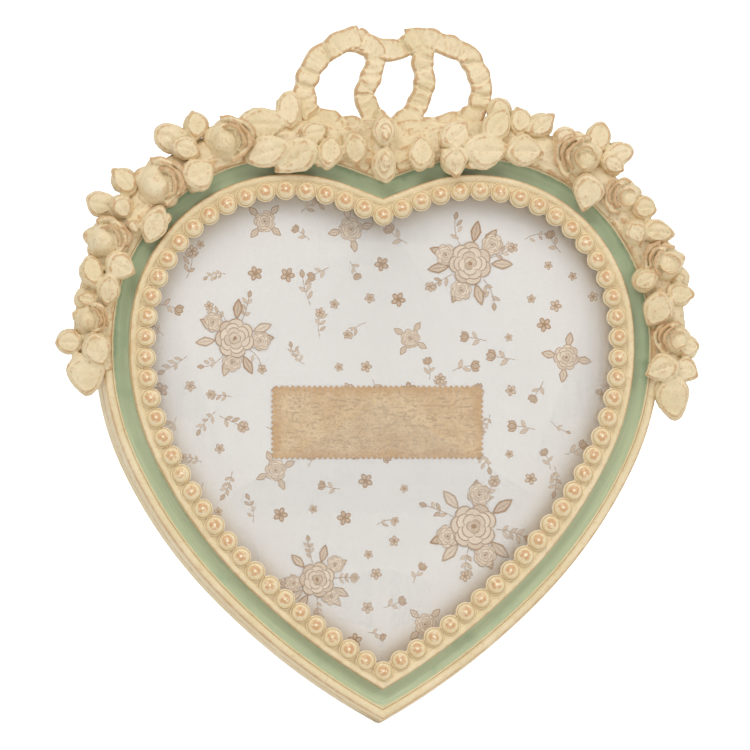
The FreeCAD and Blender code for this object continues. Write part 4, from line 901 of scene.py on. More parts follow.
# %% Places of roses and leaves
ROSES = {
    "rose_left_1": (0.183, 0.56, 0.98, 0.55), "rose_left_2": (0.264, 0.52, 1.02, 0.60),
    "rose_left_3": (0.339, 0.62, 0.88, 0.50), "rose_left_4": (0.419, 0.54, 0.68, 0.40),
    "rose_right_1": (0.226, 0.62, 0.98, 0.60), "rose_right_2": (0.284, 0.58, 0.77, 0.45),
    "rose_right_3": (0.361, 0.59, 0.86, 0.50), "rose_right_4": (0.439, 0.52, 0.77, 0.40),
}
LEAVES = {
    "leaves_left_4": ((0.476, 0.59, 75, 1.02, 1.23, 0.10), (0.443, 0.79, 0, 0.64, 0.80, 0.15),
                      (0.452, 0.44, 110, 0.78, 0.91, 0.45)),
    "leaves_left_3": ((0.399, 0.61, 0, 0.48, 0.53, 0.15), (0.386, 0.37, 98, 0.78, 0.73, 0.30),
                      (0.371, 0.64, -62, 0.76, 0.73, 0.45), (0.358, 0.31, 170, 0.72, 0.91, 0.40)),
    "leaves_left_2": ((0.313, 0.41, 154, 0.38, 0.40, 0.20), (0.300, 0.20, 108, 0.88, 0.84, 0.35),
                      (0.313, 0.92, 25, 0.72, 0.84, 0.15), (0.305, 0.68, 157, 0.55, 0.69, 0.60),
                      (0.284, 0.87, -7, 0.78, 0.76, 0.15)),
    "leaves_left_1": ((0.224, 0.32, -90, 0.83, 1.03, 0.40), (0.229, 0.91, 34, 0.88, 0.96, 0.15),
                      (0.204, 0.91, -19, 0.70, 0.76, 0.20), (0.223, 0.70, -140, 0.70, 0.76, 0.60)),
    "leaves_centre_left": ((0.148, 0.31, 102, 1.07, 1.03, 0.40), (0.146, 0.68, -97, 1.12, 1.10, 0.30),
                           (0.116, 0.22, 126, 1.12, 1.03, 0.50), (0.121, 0.86, 0, 0.92, 0.80, 0.10),
                           (0.097, 0.56, -73, 0.66, 0.73, 0.35), (0.079, 0.35, 2, 0.76, 0.80, 0.50),
                           (0.054, 0.47, -151, 0.76, 0.80, 0.35)),
    "leaves_centre_right": ((0.061, 0.40, 17, 0.80, 0.84, 0.35), (0.100, 0.53, 56, 0.76, 0.91, 0.50),
                            (0.094, 0.18, -173, 0.74, 0.80, 0.60), (0.132, 0.31, 86, 1.12, 1.11, 0.45),
                            (0.140, 0.67, 34, 0.90, 0.91, 0.45), (0.143, 0.88, -17, 0.60, 0.66, 0.15)),
    "leaves_right_1": ((0.172, 0.40, 75, 0.88, 1.03, 0.35), (0.162, 0.78, -12, 0.66, 0.76, 0.25),
                       (0.182, 0.80, 37, 0.80, 0.66, 0.25), (0.207, 0.75, -65, 0.58, 0.70, 0.35),
                       (0.233, 1.00, -17, 0.76, 0.80, 0.15), (0.255, 0.97, 36, 0.80, 0.73, 0.15),
                       (0.256, 0.80, 81, 0.60, 0.61, 0.35), (0.254, 0.28, 147, 0.84, 0.99, 0.45)),
    "leaves_right_2": ((0.305, 0.70, 37, 0.62, 0.76, 0.30), (0.331, 0.68, 34, 0.84, 0.76, 0.20),
                       (0.320, 0.41, 92, 0.55, 0.69, 0.45)),
    "leaves_right_3": ((0.371, 0.25, 168, 0.63, 0.69, 0.45), (0.394, 0.68, 21, 0.70, 0.73, 0.20),
                       (0.379, 0.71, 5, 0.32, 0.34, 0.20), (0.406, 0.33, 118, 0.86, 0.96, 0.35)),
    "leaves_right_4": ((0.448, 0.71, 0, 0.60, 0.66, 0.20), (0.472, 0.35, 156, 0.80, 0.91, 0.45),
                       (0.471, 0.69, 6, 0.70, 0.80, 0.25), (0.502, 0.56, 75, 1.07, 1.11, 0.15)),
}
print(len(ROSES), "roses", sum(len(rows) for rows in LEAVES.values()), "leaves")

# %% Carve the roses
GARLAND_REACH, LEAF_SPAN, LEAF_BREADTH, ROSE_RADIUS = 20.0, 11.2, 8.2, 5.8


def garland_level(reach, rise):
    """Height of a rose or leaf: it droops where it lies past the moulding."""
    return 10.45 + 4 * rise - 0.3 * max(reach - 8.4, 0)


def turned_out(point, level, out, pointing, side, dip=14):
    """The place of a leaf: where it lies, the way it points and its dip."""
    heading = math.atan2(out.y, out.x) - side * math.radians(pointing)
    return (Matrix.Translation((point.x, point.y, level)) @ Matrix.Rotation(heading, 4, "Z")
            @ Matrix.Rotation(math.radians(dip), 4, "Y"))


for number, (name, (share, reach, size, rise)) in enumerate(ROSES.items()):
    side = -1 if "left" in name else 1
    reach *= GARLAND_REACH
    point, _ = heart_place(share, reach, side)
    place = Matrix.Translation((point.x, point.y, garland_level(reach, rise)))
    shape = bmesh.new()
    rose_form(shape, place, size * ROSE_RADIUS, 0.35 if side < 0 else 2.8, random.Random(number))
    carve(name, shape)

# %% Carve the leaf sprays
for number, (name, rows) in enumerate(LEAVES.items()):
    side = -1 if "left" in name else 1
    draft = random.Random(40 + number)
    shape = bmesh.new()
    for share, reach, pointing, length, width, rise in rows:
        inner = reach < 0.55
        reach *= GARLAND_REACH
        point, out = heart_place(share, reach, side)
        place = turned_out(point, garland_level(reach, rise) + 1.3, out, pointing, side)
        if inner:
            leaf_form(shape, place, length * LEAF_SPAN * 1.08, width * LEAF_BREADTH * 1.05, draft,
                      point=draft.uniform(0.6, 0.95))
        else:
            leaf_form(shape, place, length * LEAF_SPAN * 1.04, width * LEAF_BREADTH, draft, crown=1.1,
                      lip=0.34, point=draft.uniform(0.1, 0.6), vein=0.36)
        if length > 0.7:
            under = (place @ Matrix.Rotation(draft.choice((-0.7, 0.7)), 4, "Z")
                     @ Matrix.Translation((-0.6, 0, -1.1)))
            leaf_form(shape, under, length * LEAF_SPAN * 0.9, width * LEAF_BREADTH * 0.7, draft, point=0.5)
        ball(shape, Matrix.Translation((point.x, point.y, garland_level(reach, rise) - 1.5)), 3.5, 2.6)
    carve(name, shape)

# %% [markdown]
# ## Banks and buds
# Between the leaves the ground of the garland shows: a rough bank along the outside of the moulding, with
# strips of carving that run beside the ridge. Over the notch a rosebud stands up into the bow, and another
# hangs over the green.

# %% Banks
BANK = [(reach, level, 0, 0) for reach, level in (
    (7.4, 3.2), (13.0, 3.2), (14.4, 4.8), (14.4, 7.6), (13.2, 9.6), (11.4, 10.6), (10.6, 11.2), (9.2, 11.1),
    (8.6, 11.5), (7.2, 11.4), (6.5, 10.7), (5.4, 10.75), (4.7, 10.1), (4.9, 9.0), (7.0, 8.8))]
for name, side, last in (("garland_bed_left", -1, 0.475), ("garland_bed_right", 1, 0.495)):
    shape = carried(BANK, 6.2, last, step=1.2)
    bmesh.ops.holes_fill(shape, edges=shape.edges, sides=0)
    draft = random.Random(70 + side)
    waves = [(draft.uniform(0.2, 0.9), draft.uniform(0.2, 0.9), draft.uniform(0, 6.3)) for _ in range(6)]
    for vert in shape.verts:
        lump = sum(math.sin(a * vert.co.x + b * vert.co.y + c) for a, b, c in waves) / 6
        vert.co.z += 0.8 * lump * smooth_step(4, 8, vert.co.z)
        vert.co.x *= side
    carve(name, shape, COARSE, 2, 1.0)

# %% Buds over the notch
shape = bmesh.new()
draft = random.Random(90)
for direction, height, rise, length, width in ((1, 18.2, 3.0, 8.6, 7.4), (-1, 8.8, 2.2, 9.8, 8.0)):
    for turn, size, breadth, lift, ahead in ((34, 0.86, 0.62, 0.4, 0.2), (-34, 0.86, 0.62, 0.4, 0.2),
                                             (0, 1.0, 0.86, 1.0, 0.0), (10, 0.66, 0.52, 2.0, -0.7),
                                             (-14, 0.46, 0.34, 2.7, -1.3)):
        at = Vector((0, height + direction * ahead, 0))
        place = turned_out(at, 10.45 + rise + lift - 0.6, Vector((0, direction, 0)), turn, 1, 10)
        leaf_form(shape, place, size * length, breadth * width, draft, crown=1.2, lip=0.34, point=0.25,
                  vein=0.25)
    ball(shape, Matrix.Translation((0, height, 10.45 + rise - 1.2)), 0.42 * width, 2.6)
ball(shape, Matrix.Translation((0, 13.6, 9.8)), 3.6, 2.6)
carve("notch_buds", shape)

# %% [markdown]
# ## Bow
# The bow is a wide crumpled ribbon in two loops that cross at the top, with three openings between them. Each
# band is a strip led along a drawn line, with creases across it at uneven places, between which the
# ribbon billows. A cloth simulation would give softer folds than this hard, carved ribbon has.


# %% Smooth line
def smooth_line(line):
    """Closely spaced points on a smooth curve that a few (u, v, w) points lead."""
    curve = bpy.data.curves.new("line", "CURVE")
    curve.dimensions = "3D"
    curve.resolution_u = 24
    spline = curve.splines.new("NURBS")
    spline.points.add(len(line) - 1)
    for point, place in zip(spline.points, line):
        point.co = (*place, 1)
    spline.order_u = 3
    spline.use_endpoint_u = True
    holder = bpy.data.objects.new("line", curve)
    led = bpy.data.meshes.new_from_object(holder)
    bpy.data.objects.remove(holder)
    return [vert.co.copy() for vert in led.vertices]


print("lines are NURBS curves of order 3")

# %% Ribbon band
BAND_STEP = 0.35


def band(shape, line, width, seed, thick=2.6):
    """A crumpled ribbon led along a smooth line of (u, v, w) points."""
    draft = random.Random(seed)
    path = smooth_line(line)
    lengths = [0.0]
    for first, second in zip(path, path[1:]):
        lengths.append(lengths[-1] + (second - first).length)
    total = lengths[-1]
    creases, at = [], draft.uniform(1, 3)
    while at < total:
        creases.append((at, draft.uniform(0.3, 1.1), draft.uniform(-1.8, 1.8), draft.uniform(0.25, 0.6)))
        at += draft.uniform(1.8, 6.5)
    rim, rib = line_layers(shape)
    made = bmesh.ops.create_grid(shape, x_segments=round(total / BAND_STEP), y_segments=16, size=1)["verts"]
    for vert in made:
        along = (0.5 + 0.5 * vert.co.x) * total
        index = min(max(int(np.searchsorted(lengths, along)), 1), len(path) - 1)
        share = (along - lengths[index - 1]) / (lengths[index] - lengths[index - 1])
        place = path[index - 1].lerp(path[index], share)
        ahead = path[min(index + 6, len(path) - 1)] - path[max(index - 7, 0)]
        beside = Vector((-ahead.y, ahead.x, 0)).normalized()
        t = vert.co.y
        crease, pinch, brushed = 0.0, 0.0, 0.0
        for middle, depth, slant, broad in creases:
            away = along - middle - slant * t
            step = math.exp(-((away / broad) ** 2)) if away > 0 else math.exp(-((away / (3 * broad)) ** 2))
            crease += depth * (step - 0.35 * math.exp(-(((away - 1.6) / 0.9) ** 2)))
            pinch += depth * math.exp(-((away / 1.3) ** 2))
            brushed = max(brushed, depth * math.exp(-(((away + 0.6) / 0.45) ** 2)))
        lip = 0.12 * smooth_step(0.5, 0.8, abs(t)) - 0.9 * smooth_step(0.80, 1.0, abs(t)) ** 2
        fine = math.sin(4.2 * (along + 0.5 * math.sin(2.2 * t + seed)) + 1.5 * math.sin(0.7 * along))
        ribbed = 0.12 * fine * (0.6 + 0.4 * math.sin(0.43 * along + seed))
        lip -= ribbed * (1 - smooth_step(0.55, 0.85, abs(t)))
        vert[rim] = max(1.9 * brushed, 0.6 * smooth_step(0.70, 0.88, abs(t)))
        vert[rib] = 0.6 * max(fine, 0) ** 3
        swell = 1 - 0.12 * pinch + 0.05 * math.sin(1.1 * along + seed)
        vert.co = place + beside * (t * 0.5 * width * swell) + Vector((0, 0, lip - 0.7 * crease))
    thickened(shape, made, thick, Matrix.Identity(4))


print("bands in steps of", BAND_STEP, "mm")

# %% The bow's lines
LOOP_LEFT = [(0.9, 17.6, 9.6), (-4.6, 18.0, 9.0), (-10.0, 19.4, 8.2), (-15.8, 21.0, 7.4),
             (-19.8, 22.6, 7.0), (-20.6, 27.4, 6.9), (-20.0, 31.6, 6.9), (-17.8, 36.2, 7.0),
             (-14.2, 39.6, 7.0), (-10.2, 42.0, 7.1), (-5.6, 43.2, 7.1)]
INNER_LEFT = [(-6.6, 42.9, 7.0), (-3.2, 41.6, 7.1), (-1.0, 38.0, 7.2), (-1.7, 34.2, 7.1), (-3.9, 30.4, 7.0),
              (-4.6, 27.2, 7.0), (-3.0, 23.4, 7.3), (-0.6, 20.2, 8.4), (0.9, 17.6, 9.6)]
LOOP_RIGHT = [(0.9, 17.6, 9.6), (6.9, 18.0, 9.0), (13.9, 19.0, 8.2), (20.0, 20.4, 7.4), (25.2, 22.4, 7.0),
              (27.0, 27.0, 6.9), (26.9, 31.4, 6.9), (25.0, 36.4, 7.0), (21.2, 39.8, 7.0),
              (16.0, 41.6, 7.1), (10.4, 43.4, 7.1), (7.0, 42.2, 7.0)]
INNER_RIGHT = [(12.6, 41.6, 6.9), (11.2, 38.6, 7.1), (11.2, 34.8, 7.2), (11.9, 31.0, 7.1),
               (10.9, 27.0, 7.0), (8.8, 23.2, 7.3), (5.4, 20.2, 8.4), (1.6, 17.6, 9.6)]
BRIDGE = [(-8.2, 42.0, 6.6), (-3.6, 41.0, 6.8), (0.4, 39.6, 7.0), (4.2, 39.6, 7.0), (7.6, 41.2, 6.8),
          (11.6, 42.2, 6.6)]
for name, lines in (
        ("bow_loop_left", ((LOOP_LEFT, 6.4, 11), (INNER_LEFT, 6.0, 12))),
        ("bow_loop_right", ((LOOP_RIGHT, 6.1, 13), (INNER_RIGHT, 6.0, 14), (BRIDGE, 6.0, 15)))):
    shape = bmesh.new()
    for line, width, seed in lines:
        band(shape, line, width, seed)
    carve(name, shape, FINE, 2, 0.35)

# %% Knot
shape = bmesh.new()
for place, across, up in (
        ((1.2, 17.4, 7.4), 4.4, 3.2), ((-6.5, 17.8, 6.6), 3.2, 2.8), ((9.0, 17.8, 6.6), 3.2, 2.8),
        ((-12, 18.4, 6.2), 3.0, 2.4), ((15, 18.4, 6.2), 3.0, 2.4), ((-17.5, 19.4, 6.0), 2.8, 2.2),
        ((21.5, 19.4, 6.0), 2.8, 2.2)):
    ball(shape, Matrix.Translation(place), across, up)
for end, seed in (((-16, 17.4, 7.4), 17), ((19, 17.6, 7.4), 18)):
    band(shape, [(1, 16.8, 9.6), (end[0] / 2, 16.4, 9.4), end], 4.6, seed, thick=3.2)
carve("bow_knot", shape)

# %% [markdown]
# ## Glass
# The pane is a flat heart at the front face of its solid. It was meant to be 1.7 mm thick, but both of its
# faces come out in that one plane, so it has no thickness here: a known fault. Rays of shadow pass it
# freely: real glass lets the light through, and without that the insert would be lit through caustics only.

# %% Glass pane
PANE_REACH, GLASS_TOP, GLASS_THICK = -2.5, 7, 1.7
clear, tree = blank("clear_glass")
shader = node(tree, "ShaderNodeBsdfPrincipled", {"Base Color": (1, 1, 1, 1), "Roughness": 0.0,
                                                 "Transmission Weight": 1.0, "IOR": 1.45})
free = node(tree, "ShaderNodeBsdfTransparent", {"Color": (1, 1, 1, 1)})
through = any_of(tree, ("Is Shadow Ray", "Is Diffuse Ray"))
mix = node(tree, "ShaderNodeMixShader", {0: through, 1: shader.outputs[0], 2: free.outputs[0]})
node(tree, "ShaderNodeOutputMaterial", {"Surface": mix.outputs[0]})
shape = bmesh.new()
face = shape.faces.new([shape.verts.new(place) for place in heart_outline(PANE_REACH, 260, GLASS_TOP)])
bmesh.ops.solidify(shape, geom=[face], thickness=GLASS_THICK)
bmesh.ops.recalc_face_normals(shape, faces=shape.faces)
piece = settle("clear_pane", shape, clear, ["glass_pane"])
piece.data.shade_flat()

# %% [markdown]
# ## Printed insert
# The paper behind the glass is off white, printed in sepia with scattered flowers, buds, sprigs and a few
# bunches of roses. The print is a generic one of our own, in the same colours and scale. Each motif is made
# of flat spots, a dark one and a lighter one on it for an inked outline, and each spot lies a thousandth
# of a millimetre above the last one. A texture painted by nodes couldn't place single flowers.
# The sheet is painted darker beige towards its edge as the rim's shadow, by a mask on loops that follow the
# heart.

# %% Paper
paper, tree = blank("insert_paper")
fibre = noise(tree, 1500, 4, 0.7)
colour = mixed(tree, spread(tree, fibre, 0.3, 0.7), srgb(226, 222, 217), srgb(221, 217, 211))
# Painted shadow of the rim: the paper turns darker beige towards its edge.
colour = mixed(tree, spread(tree, masked(tree, "painted_rim_shadow"), 0.0, 1.0, 0, 0.75), colour, srgb(200, 184, 162))
surface(tree, colour, 0.55, fibre, 0.1, 0.00005)
print("paper", paper.name)

# %% Paper sheet
PAPER_TOP, PAPER_THICK = 5, 0.3
shape = bmesh.new()
painted_rim_shadow = shape.verts.layers.float.new("painted_rim_shadow")
loops = []
# The tone on each loop of points is the painted shadow of the rim, strongest at the edge.
for reach, tone in ((PANE_REACH, 1.0), (-6.4, 1.0), (-7.4, 0.75), (-8.6, 0.45), (-10.2, 0.2), (-12.5, 0.0)):
    loops.append([shape.verts.new(place) for place in heart_outline(reach, 130, PAPER_TOP)])
    for vert in loops[-1]:
        vert[painted_rim_shadow] = tone
for outer, inner in zip(loops, loops[1:]):
    for index in range(len(outer)):
        shape.faces.new((outer[index - 1], outer[index], inner[index], inner[index - 1]))
shape.faces.new(loops[-1])
bmesh.ops.recalc_face_normals(shape, faces=shape.faces)
bmesh.ops.solidify(shape, geom=shape.faces[:], thickness=PAPER_THICK)
top = max(vert.co.z for vert in shape.verts)
for vert in shape.verts:
    vert.co.z = PAPER_TOP if top - vert.co.z < PAPER_THICK / 2 else PAPER_TOP - PAPER_THICK
bmesh.ops.recalc_face_normals(shape, faces=shape.faces)
piece = settle("insert_sheet", shape, paper, ["photo_insert"])
piece.data.shade_flat()

# %% Ink
ink, tree = blank("sepia_ink")
grain = noise(tree, 1800, 3, 0.7)
tone = math_node(tree, "ADD", masked(tree, "tone"), math_node(tree, "MULTIPLY", grain, 0.35))
colour = mixed(tree, spread(tree, tone, 0.1, 1.2), srgb(226, 211, 190), srgb(160, 122, 82))
surface(tree, colour, 0.55)
print("print in", ink.name)


# %% Spots of ink
class Press:
    """Spots of ink on the insert, each a little above the one before it in its motif."""

    def __init__(self):
        self.shape = bmesh.new()
        self.tone = self.shape.verts.layers.float.new("tone")
        self.level = 0

    def spot(self, place, length, width, turn, tone, pinch=0.0, sides=10):
        """One flat spot, which a pinch narrows towards both ends."""
        made = bmesh.ops.create_circle(self.shape, cap_ends=True, radius=1, segments=sides)["verts"]
        for vert in made:
            vert.co.y *= 1 - pinch * vert.co.x ** 2
            vert[self.tone] = tone
        self.level += 1
        lie = (Matrix.Translation((place.x, place.y, PAPER_TOP + 0.01 + 0.001 * self.level))
               @ Matrix.Rotation(turn, 4, "Z") @ Matrix.Diagonal((length / 2, width / 2, 1, 1)))
        bmesh.ops.transform(self.shape, matrix=lie, verts=made)

    def leaf(self, root, length, width, turn, dark=0.8):
        """A leaf from its root: a dark outline, a lighter middle and a midrib."""
        middle = root + toward(turn) * length / 2
        self.spot(middle, length, width, turn, dark, 0.85)
        self.spot(middle, length * 0.78, width * 0.66, turn, dark - 0.45, 0.8)
        self.spot(middle, length * 0.8, width * 0.07, turn, dark, 0.5, 6)

    def stem(self, start, length, turn, bend, tone=0.8):
        """A thin curved stem as a chain of slim spots. Gives its end and heading."""
        place, heading = start.copy(), turn
        for _ in range(5):
            step = toward(heading) * length / 5
            self.spot(place + step / 2, length / 4.2, 0.22, heading, tone, 0.2, 6)
            place += step
            heading += bend / 5
        return place, heading


print("press ready")


# %% Motifs
def star_flower(press, place, size, turn, dark=0.75):
    """Five round petals and an eye."""
    for index in range(5):
        angle = turn + 2 * math.pi * index / 5
        at = place + toward(angle) * size * 0.28
        press.spot(at, size * 0.46, size * 0.36, angle, dark, 0.1, 9)
        press.spot(at, size * 0.30, size * 0.22, angle, dark - 0.4, 0.1, 8)
    press.spot(place, size * 0.16, size * 0.16, 0, 1.0, 0, 7)


def rose_bloom(press, place, size, turn, draft, dark=0.8):
    """A full rose: rings of overlapping petals, each inked darker at its rim."""
    for ring_size, petals, petal, tone in ((0.37, 7, 0.40, 0.25), (0.27, 6, 0.36, 0.1), (0.17, 4, 0.32, 0.2),
                                           (0.08, 3, 0.22, 0.4)):
        for index in range(petals):
            angle = turn + 2 * math.pi * (index + 0.3 * draft.random()) / petals
            at = place + toward(angle) * size * ring_size
            press.spot(at, size * petal * 0.8, size * petal, angle, dark, 0, 12)
            press.spot(at - toward(angle) * size * 0.015, size * petal * 0.73, size * petal * 0.92, angle,
                       tone + draft.uniform(-0.15, 0.15), 0, 12)
        turn += 0.5
    press.spot(place, size * 0.13, size * 0.10, turn, 1.0, 0.2, 8)


def sprig(press, place, size, turn, draft, flowers=False):
    """A curved stem with pairs of leaves, and small flowers or a bud at its end."""
    bend = draft.uniform(-1.0, 1.0)
    end, heading = press.stem(place, size, turn, bend)
    for share in (0.25, 0.5, 0.75):
        at = place.lerp(end, share)
        for side in (-1, 1):
            if draft.random() < 0.8:
                press.leaf(at, size * draft.uniform(0.26, 0.38), size * 0.15,
                           turn + bend * share + side * draft.uniform(0.6, 1.0), draft.uniform(0.6, 0.9))
    if flowers:
        star_flower(press, end, size * 0.42, heading)
    else:
        press.leaf(end, size * 0.34, size * 0.20, heading, 0.95)


def bud_stem(press, place, size, turn, draft):
    """A rosebud on a leafy stem."""
    end, heading = press.stem(place, size * 0.7, turn, draft.uniform(-0.6, 0.6))
    press.leaf(place.lerp(end, 0.35), size * 0.4, size * 0.18, turn + 0.8, 0.7)
    press.leaf(place.lerp(end, 0.55), size * 0.34, size * 0.16, turn - 0.8, 0.7)
    for swing in (-0.5, 0.5, 0):
        press.leaf(end, size * 0.38, size * 0.26, heading + swing, 0.95)


def bunch(press, place, size, turn, draft):
    """A bunch: leaves and sprigs behind, small roses at the sides and a full rose in front."""
    for index in range(11):
        angle = turn + 2 * math.pi * index / 11 + draft.uniform(-0.2, 0.2)
        at = place + toward(angle) * size * 0.24
        if index % 3 == 0:
            sprig(press, at, size * 0.30, angle, draft, index % 2 == 0)
        else:
            press.leaf(at, size * 0.27, size * 0.13, angle, draft.uniform(0.6, 0.95))
    for angle, share in ((turn + 2.4, 0.30), (turn - 2.3, 0.33), (turn + 0.3, 0.34)):
        at = place + toward(angle) * size * share
        rose_bloom(press, at, size * 0.24, angle, draft, 0.8)
    rose_bloom(press, place, size * 0.48, turn, draft)


print("five motifs")


# %% Inside the heart
def inside(place, margin):
    """True where a place lies inside the heart line by a margin."""
    away = np.sqrt(((heart_dots - np.array((place.x, place.y))) ** 2).sum(1))
    near = heart_dots[away.argmin()]
    middle = np.array((0.0, -45.0))
    inward = np.dot(np.array((place.x, place.y)) - near, middle - near) > 0
    return inward and away.min() > margin


print("tip inside", inside(Vector((0, -120, 0)), 6.5))

# %% Lay the print out
press = Press()
draft = random.Random(21)
BUNCHES = ((24, -17, 23, 0.4), (-39, -37, 21, 2.2), (25, -87, 25, 1.1), (-17, -101, 19, 3.0))
BLOOMS = ((-8, -8, 11, 0.2), (50, -42, 12, 1.4), (-28, -72, 10, 2.0), (8, -37, 9, 2.6), (12, -113, 10, 0.8),
          (-31, -6, 10, 4.0))
for u, v, size, turn in BUNCHES:
    press.level = 0
    bunch(press, Vector((u, v, 0)), size, turn, draft)
for u, v, size, turn in BLOOMS:
    place = Vector((u, v, 0))
    press.level = 0
    for index in range(4):
        angle = turn + 1.57 * index
        press.leaf(place + toward(angle) * size * 0.22, size * 0.36, size * 0.2, angle, 0.75)
    rose_bloom(press, place, size * 0.56, turn, draft)
taken = [(Vector((u, v, 0)), 0.56 * size) for u, v, size, _ in BUNCHES + BLOOMS]
count = 0
for row in range(18):
    for column in range(16):
        place = Vector((-64 + 8.6 * column + 4.3 * (row % 2), 6 - 8.2 * row, 0))
        place += Vector((draft.uniform(-2.0, 2.0), draft.uniform(-2.0, 2.0), 0))
        size, turn = draft.uniform(4.8, 7.6), draft.uniform(0, 6.3)
        kind = draft.random()
        if not inside(place, 6.5) or any((place - at).length < far + 3.6 for at, far in taken):
            continue
        press.level = 0
        start = place - toward(turn) * size / 2
        if kind < 0.30:
            star_flower(press, place, draft.uniform(2.2, 3.4), turn)
        elif kind < 0.62:
            sprig(press, start, size, turn, draft, kind < 0.45)
        elif kind < 0.85:
            bud_stem(press, start, size, turn, draft)
        else:
            star_flower(press, place, 4.0, turn, 0.9)
        count += 1
print(count, "small motifs", len(press.shape.faces), "spots")

settle("insert_print", press.shape, ink, sharp=180)

# %% [markdown]
# ## Label
# A strip of kraft paper with a pinked edge lies over the print. It is left bare. A grid with teeth at its rim
# makes it, and its colour is mottled brown with fine fibres and darker towards its edges, by a mask.

# %% Label
LABEL_MIDDLE = Vector((-0.86, -59.3, PAPER_TOP + 0.17))
LABEL_WIDTH, LABEL_HEIGHT, TOOTH, TOOTH_DEPTH = 57.0, 19.8, 1.45, 0.75
across_count, up_count = 2 * round(LABEL_WIDTH / TOOTH), 2 * round(LABEL_HEIGHT / TOOTH)
shape = bmesh.new()
bmesh.ops.create_grid(shape, x_segments=across_count, y_segments=up_count, size=1)
dark = shape.verts.layers.float.new("edge")
for vert in shape.verts:
    x, y = vert.co.x, vert.co.y
    odd = round((x + 1) / 2 * across_count) % 2, round((y + 1) / 2 * up_count) % 2
    at_end, at_side = abs(x) > 0.999, abs(y) > 0.999
    vert[dark] = max(smooth_step(0.80, 1, abs(x)), smooth_step(0.5, 1, abs(y)))
    cut = TOOTH_DEPTH * (at_end * odd[1] + at_side * odd[0])
    vert.co = LABEL_MIDDLE + Vector((x * (LABEL_WIDTH / 2 - cut * at_end),
                                     y * (LABEL_HEIGHT / 2 - cut * at_side), 0))
kraft, tree = blank("kraft_paper")
cloud = noise(tree, 130, 6, 0.7)
threads = [noise(tree, 1.0, 3, 0.7, stretched(tree, scale))
           for scale in ((380, 1700, 1700), (1500, 1200, 1200))]
fibre = math_node(tree, "MAXIMUM", *threads)
colour = mixed(tree, spread(tree, cloud, 0.35, 0.65), srgb(216, 190, 150), srgb(202, 170, 126))
colour = mixed(tree, spread(tree, fibre, 0.50, 0.66, 0, 0.85), colour, srgb(172, 142, 110))
colour = mixed(tree, spread(tree, math_node(tree, "ADD", masked(tree, "edge"), cloud), 0.7, 1.6, 0, 0.7),
               colour, srgb(190, 148, 100))
surface(tree, colour, 0.6, fibre, 0.2, 0.00008)
settle("kraft_label", shape, kraft, sharp=180)

# %% [markdown]
# ## Back of the frame
# Behind, the backboard and both faces of the strut are flocked in dark brown velvet, and the hinge, rivets,
# turn buttons and hanger are thin yellow plated steel. Their solids have the right shape already, so they
# keep them and get materials: a fuzzy short pile with a sheen, brushed plating, and cut fibreboard edges.


# %% Hardware and board finishes
def finish_with(name, low, high, scale, stretch=(1, 1, 1), bump=0.3, rough=(0.6, 0.8), **sockets):
    """A material of two colours in noise, with bump and roughness from the same noise."""
    made, tree = blank(name)
    cloud = noise(tree, scale, 5, 0.65, stretched(tree, stretch))
    large = noise(tree, 60, 3)
    colour = mixed(tree, spread(tree, cloud, 0.3, 0.7), low, high)
    colour = mixed(tree, spread(tree, large, 0.45, 0.75, 0, 0.35), colour, low)
    surface(tree, colour, spread(tree, cloud, 0.3, 0.7, *rough), cloud, bump, 0.0001, **sockets)
    return made


velvet = finish_with("brown_velvet", srgb(52, 42, 36), srgb(74, 60, 50), 2600, bump=0.8, rough=(0.85, 1.0),
                     Sheen_Weight=0.6, Sheen_Roughness=0.4)
board = finish_with("fibreboard", srgb(128, 98, 66), srgb(158, 124, 86), 1200, (1, 1, 6))
card = finish_with("grey_card", srgb(176, 164, 144), srgb(192, 182, 164), 1500)
steel = finish_with("yellow_plating", srgb(196, 172, 118), srgb(222, 202, 150), 700, (1, 1, 14), 0.15,
                    (0.22, 0.36), Metallic=1.0)
satin = finish_with("satin_ribbon", srgb(46, 37, 32), srgb(66, 54, 46), 1800, (1, 6, 6), 0.3, (0.35, 0.5))
FINISHES = {"velvet": velvet, "board": board, "card": card, "plated_steel": steel}
slots = {row["node"]: row["material_slot"] for row in record["subparts"]}
for name, made in frame["nodes"].items():
    if slots[name] in FINISHES:
        made.data.materials.clear()
        made.data.materials.append(FINISHES[slots[name]])
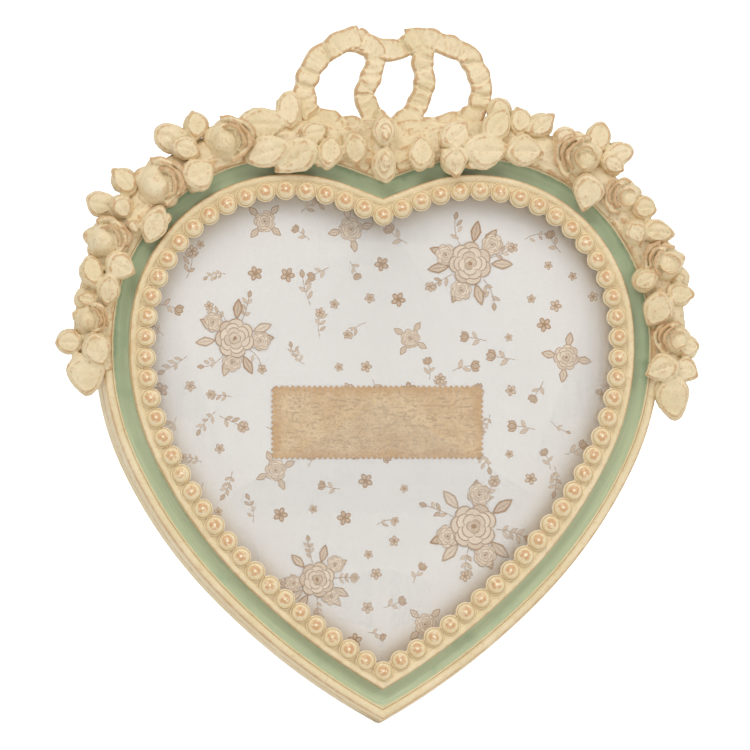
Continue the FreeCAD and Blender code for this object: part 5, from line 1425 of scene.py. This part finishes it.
print({slot: sum(1 for s in slots.values() if s == slot) for slot in FINISHES})

# %% [markdown]
# ## Stay ribbon
# A flat satin ribbon between the backboard and the strut stops the strut where it stands. It is riveted by a
# short tab at each end. When the strut folds in, the ribbon goes slack between the two, so it is a sheet
# of fabric that follows the frame at one fold and the strut at the other.

# %% Stay ribbon
PIN = Vector((0, 0.0312985, 0.1007529))
RIBBON, TAB, SLACK, WEB = 0.010, 0.008, 0.0009, 0.0003
BOARD_FOLD, STRUT_FOLD, STRUT_FACE, LIFT = -94.63, 0.069, 0.0019, 0.00022
board_up = Vector((0, math.sin(LEAN), math.cos(LEAN)))
board_out = Vector((0, math.cos(LEAN), -math.sin(LEAN)))
splay = math.radians(109)
strut_up = Vector((0, math.cos(splay), math.sin(splay)))
strut_out = Vector((0, math.sin(splay), -math.cos(splay)))
board_fold = PANEL @ Vector((0, BOARD_FOLD, 0)) + board_out * LIFT
strut_fold = PIN - strut_up * STRUT_FOLD - strut_out * (STRUT_FACE + LIFT)
corners = [board_fold + board_up * TAB, board_fold, strut_fold, strut_fold + strut_up * TAB]
runs = [(second - first).length for first, second in zip(corners, corners[1:])]
shape = bmesh.new()
bmesh.ops.create_grid(shape, x_segments=8, y_segments=64, size=1)
for vert in shape.verts:
    across, along = vert.co.x, (0.5 + 0.5 * vert.co.y) * sum(runs)
    index = 0
    while index < 2 and along > runs[index]:
        along -= runs[index]
        index += 1
    share = along / runs[index]
    sag = SLACK * math.sin(math.pi * share) if index == 1 else 0
    vert.co = corners[index].lerp(corners[index + 1], share) + Vector((RIBBON / 2 * across, 0, -sag))
bmesh.ops.recalc_face_normals(shape, faces=shape.faces)
strip = placed("stay_strip", as_mesh("stay_strip", shape))
strip.data.materials.append(satin)
strip.data.shade_smooth()
thicken = strip.modifiers.new("thickness", "SOLIDIFY")
thicken.thickness = WEB
thicken.offset = 0
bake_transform(strip, "frame", "strut", tuple(board_fold), tuple(strut_fold))
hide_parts("stay_ribbon")
print("ribbon", round(1000 * sum(runs), 1), "mm long")
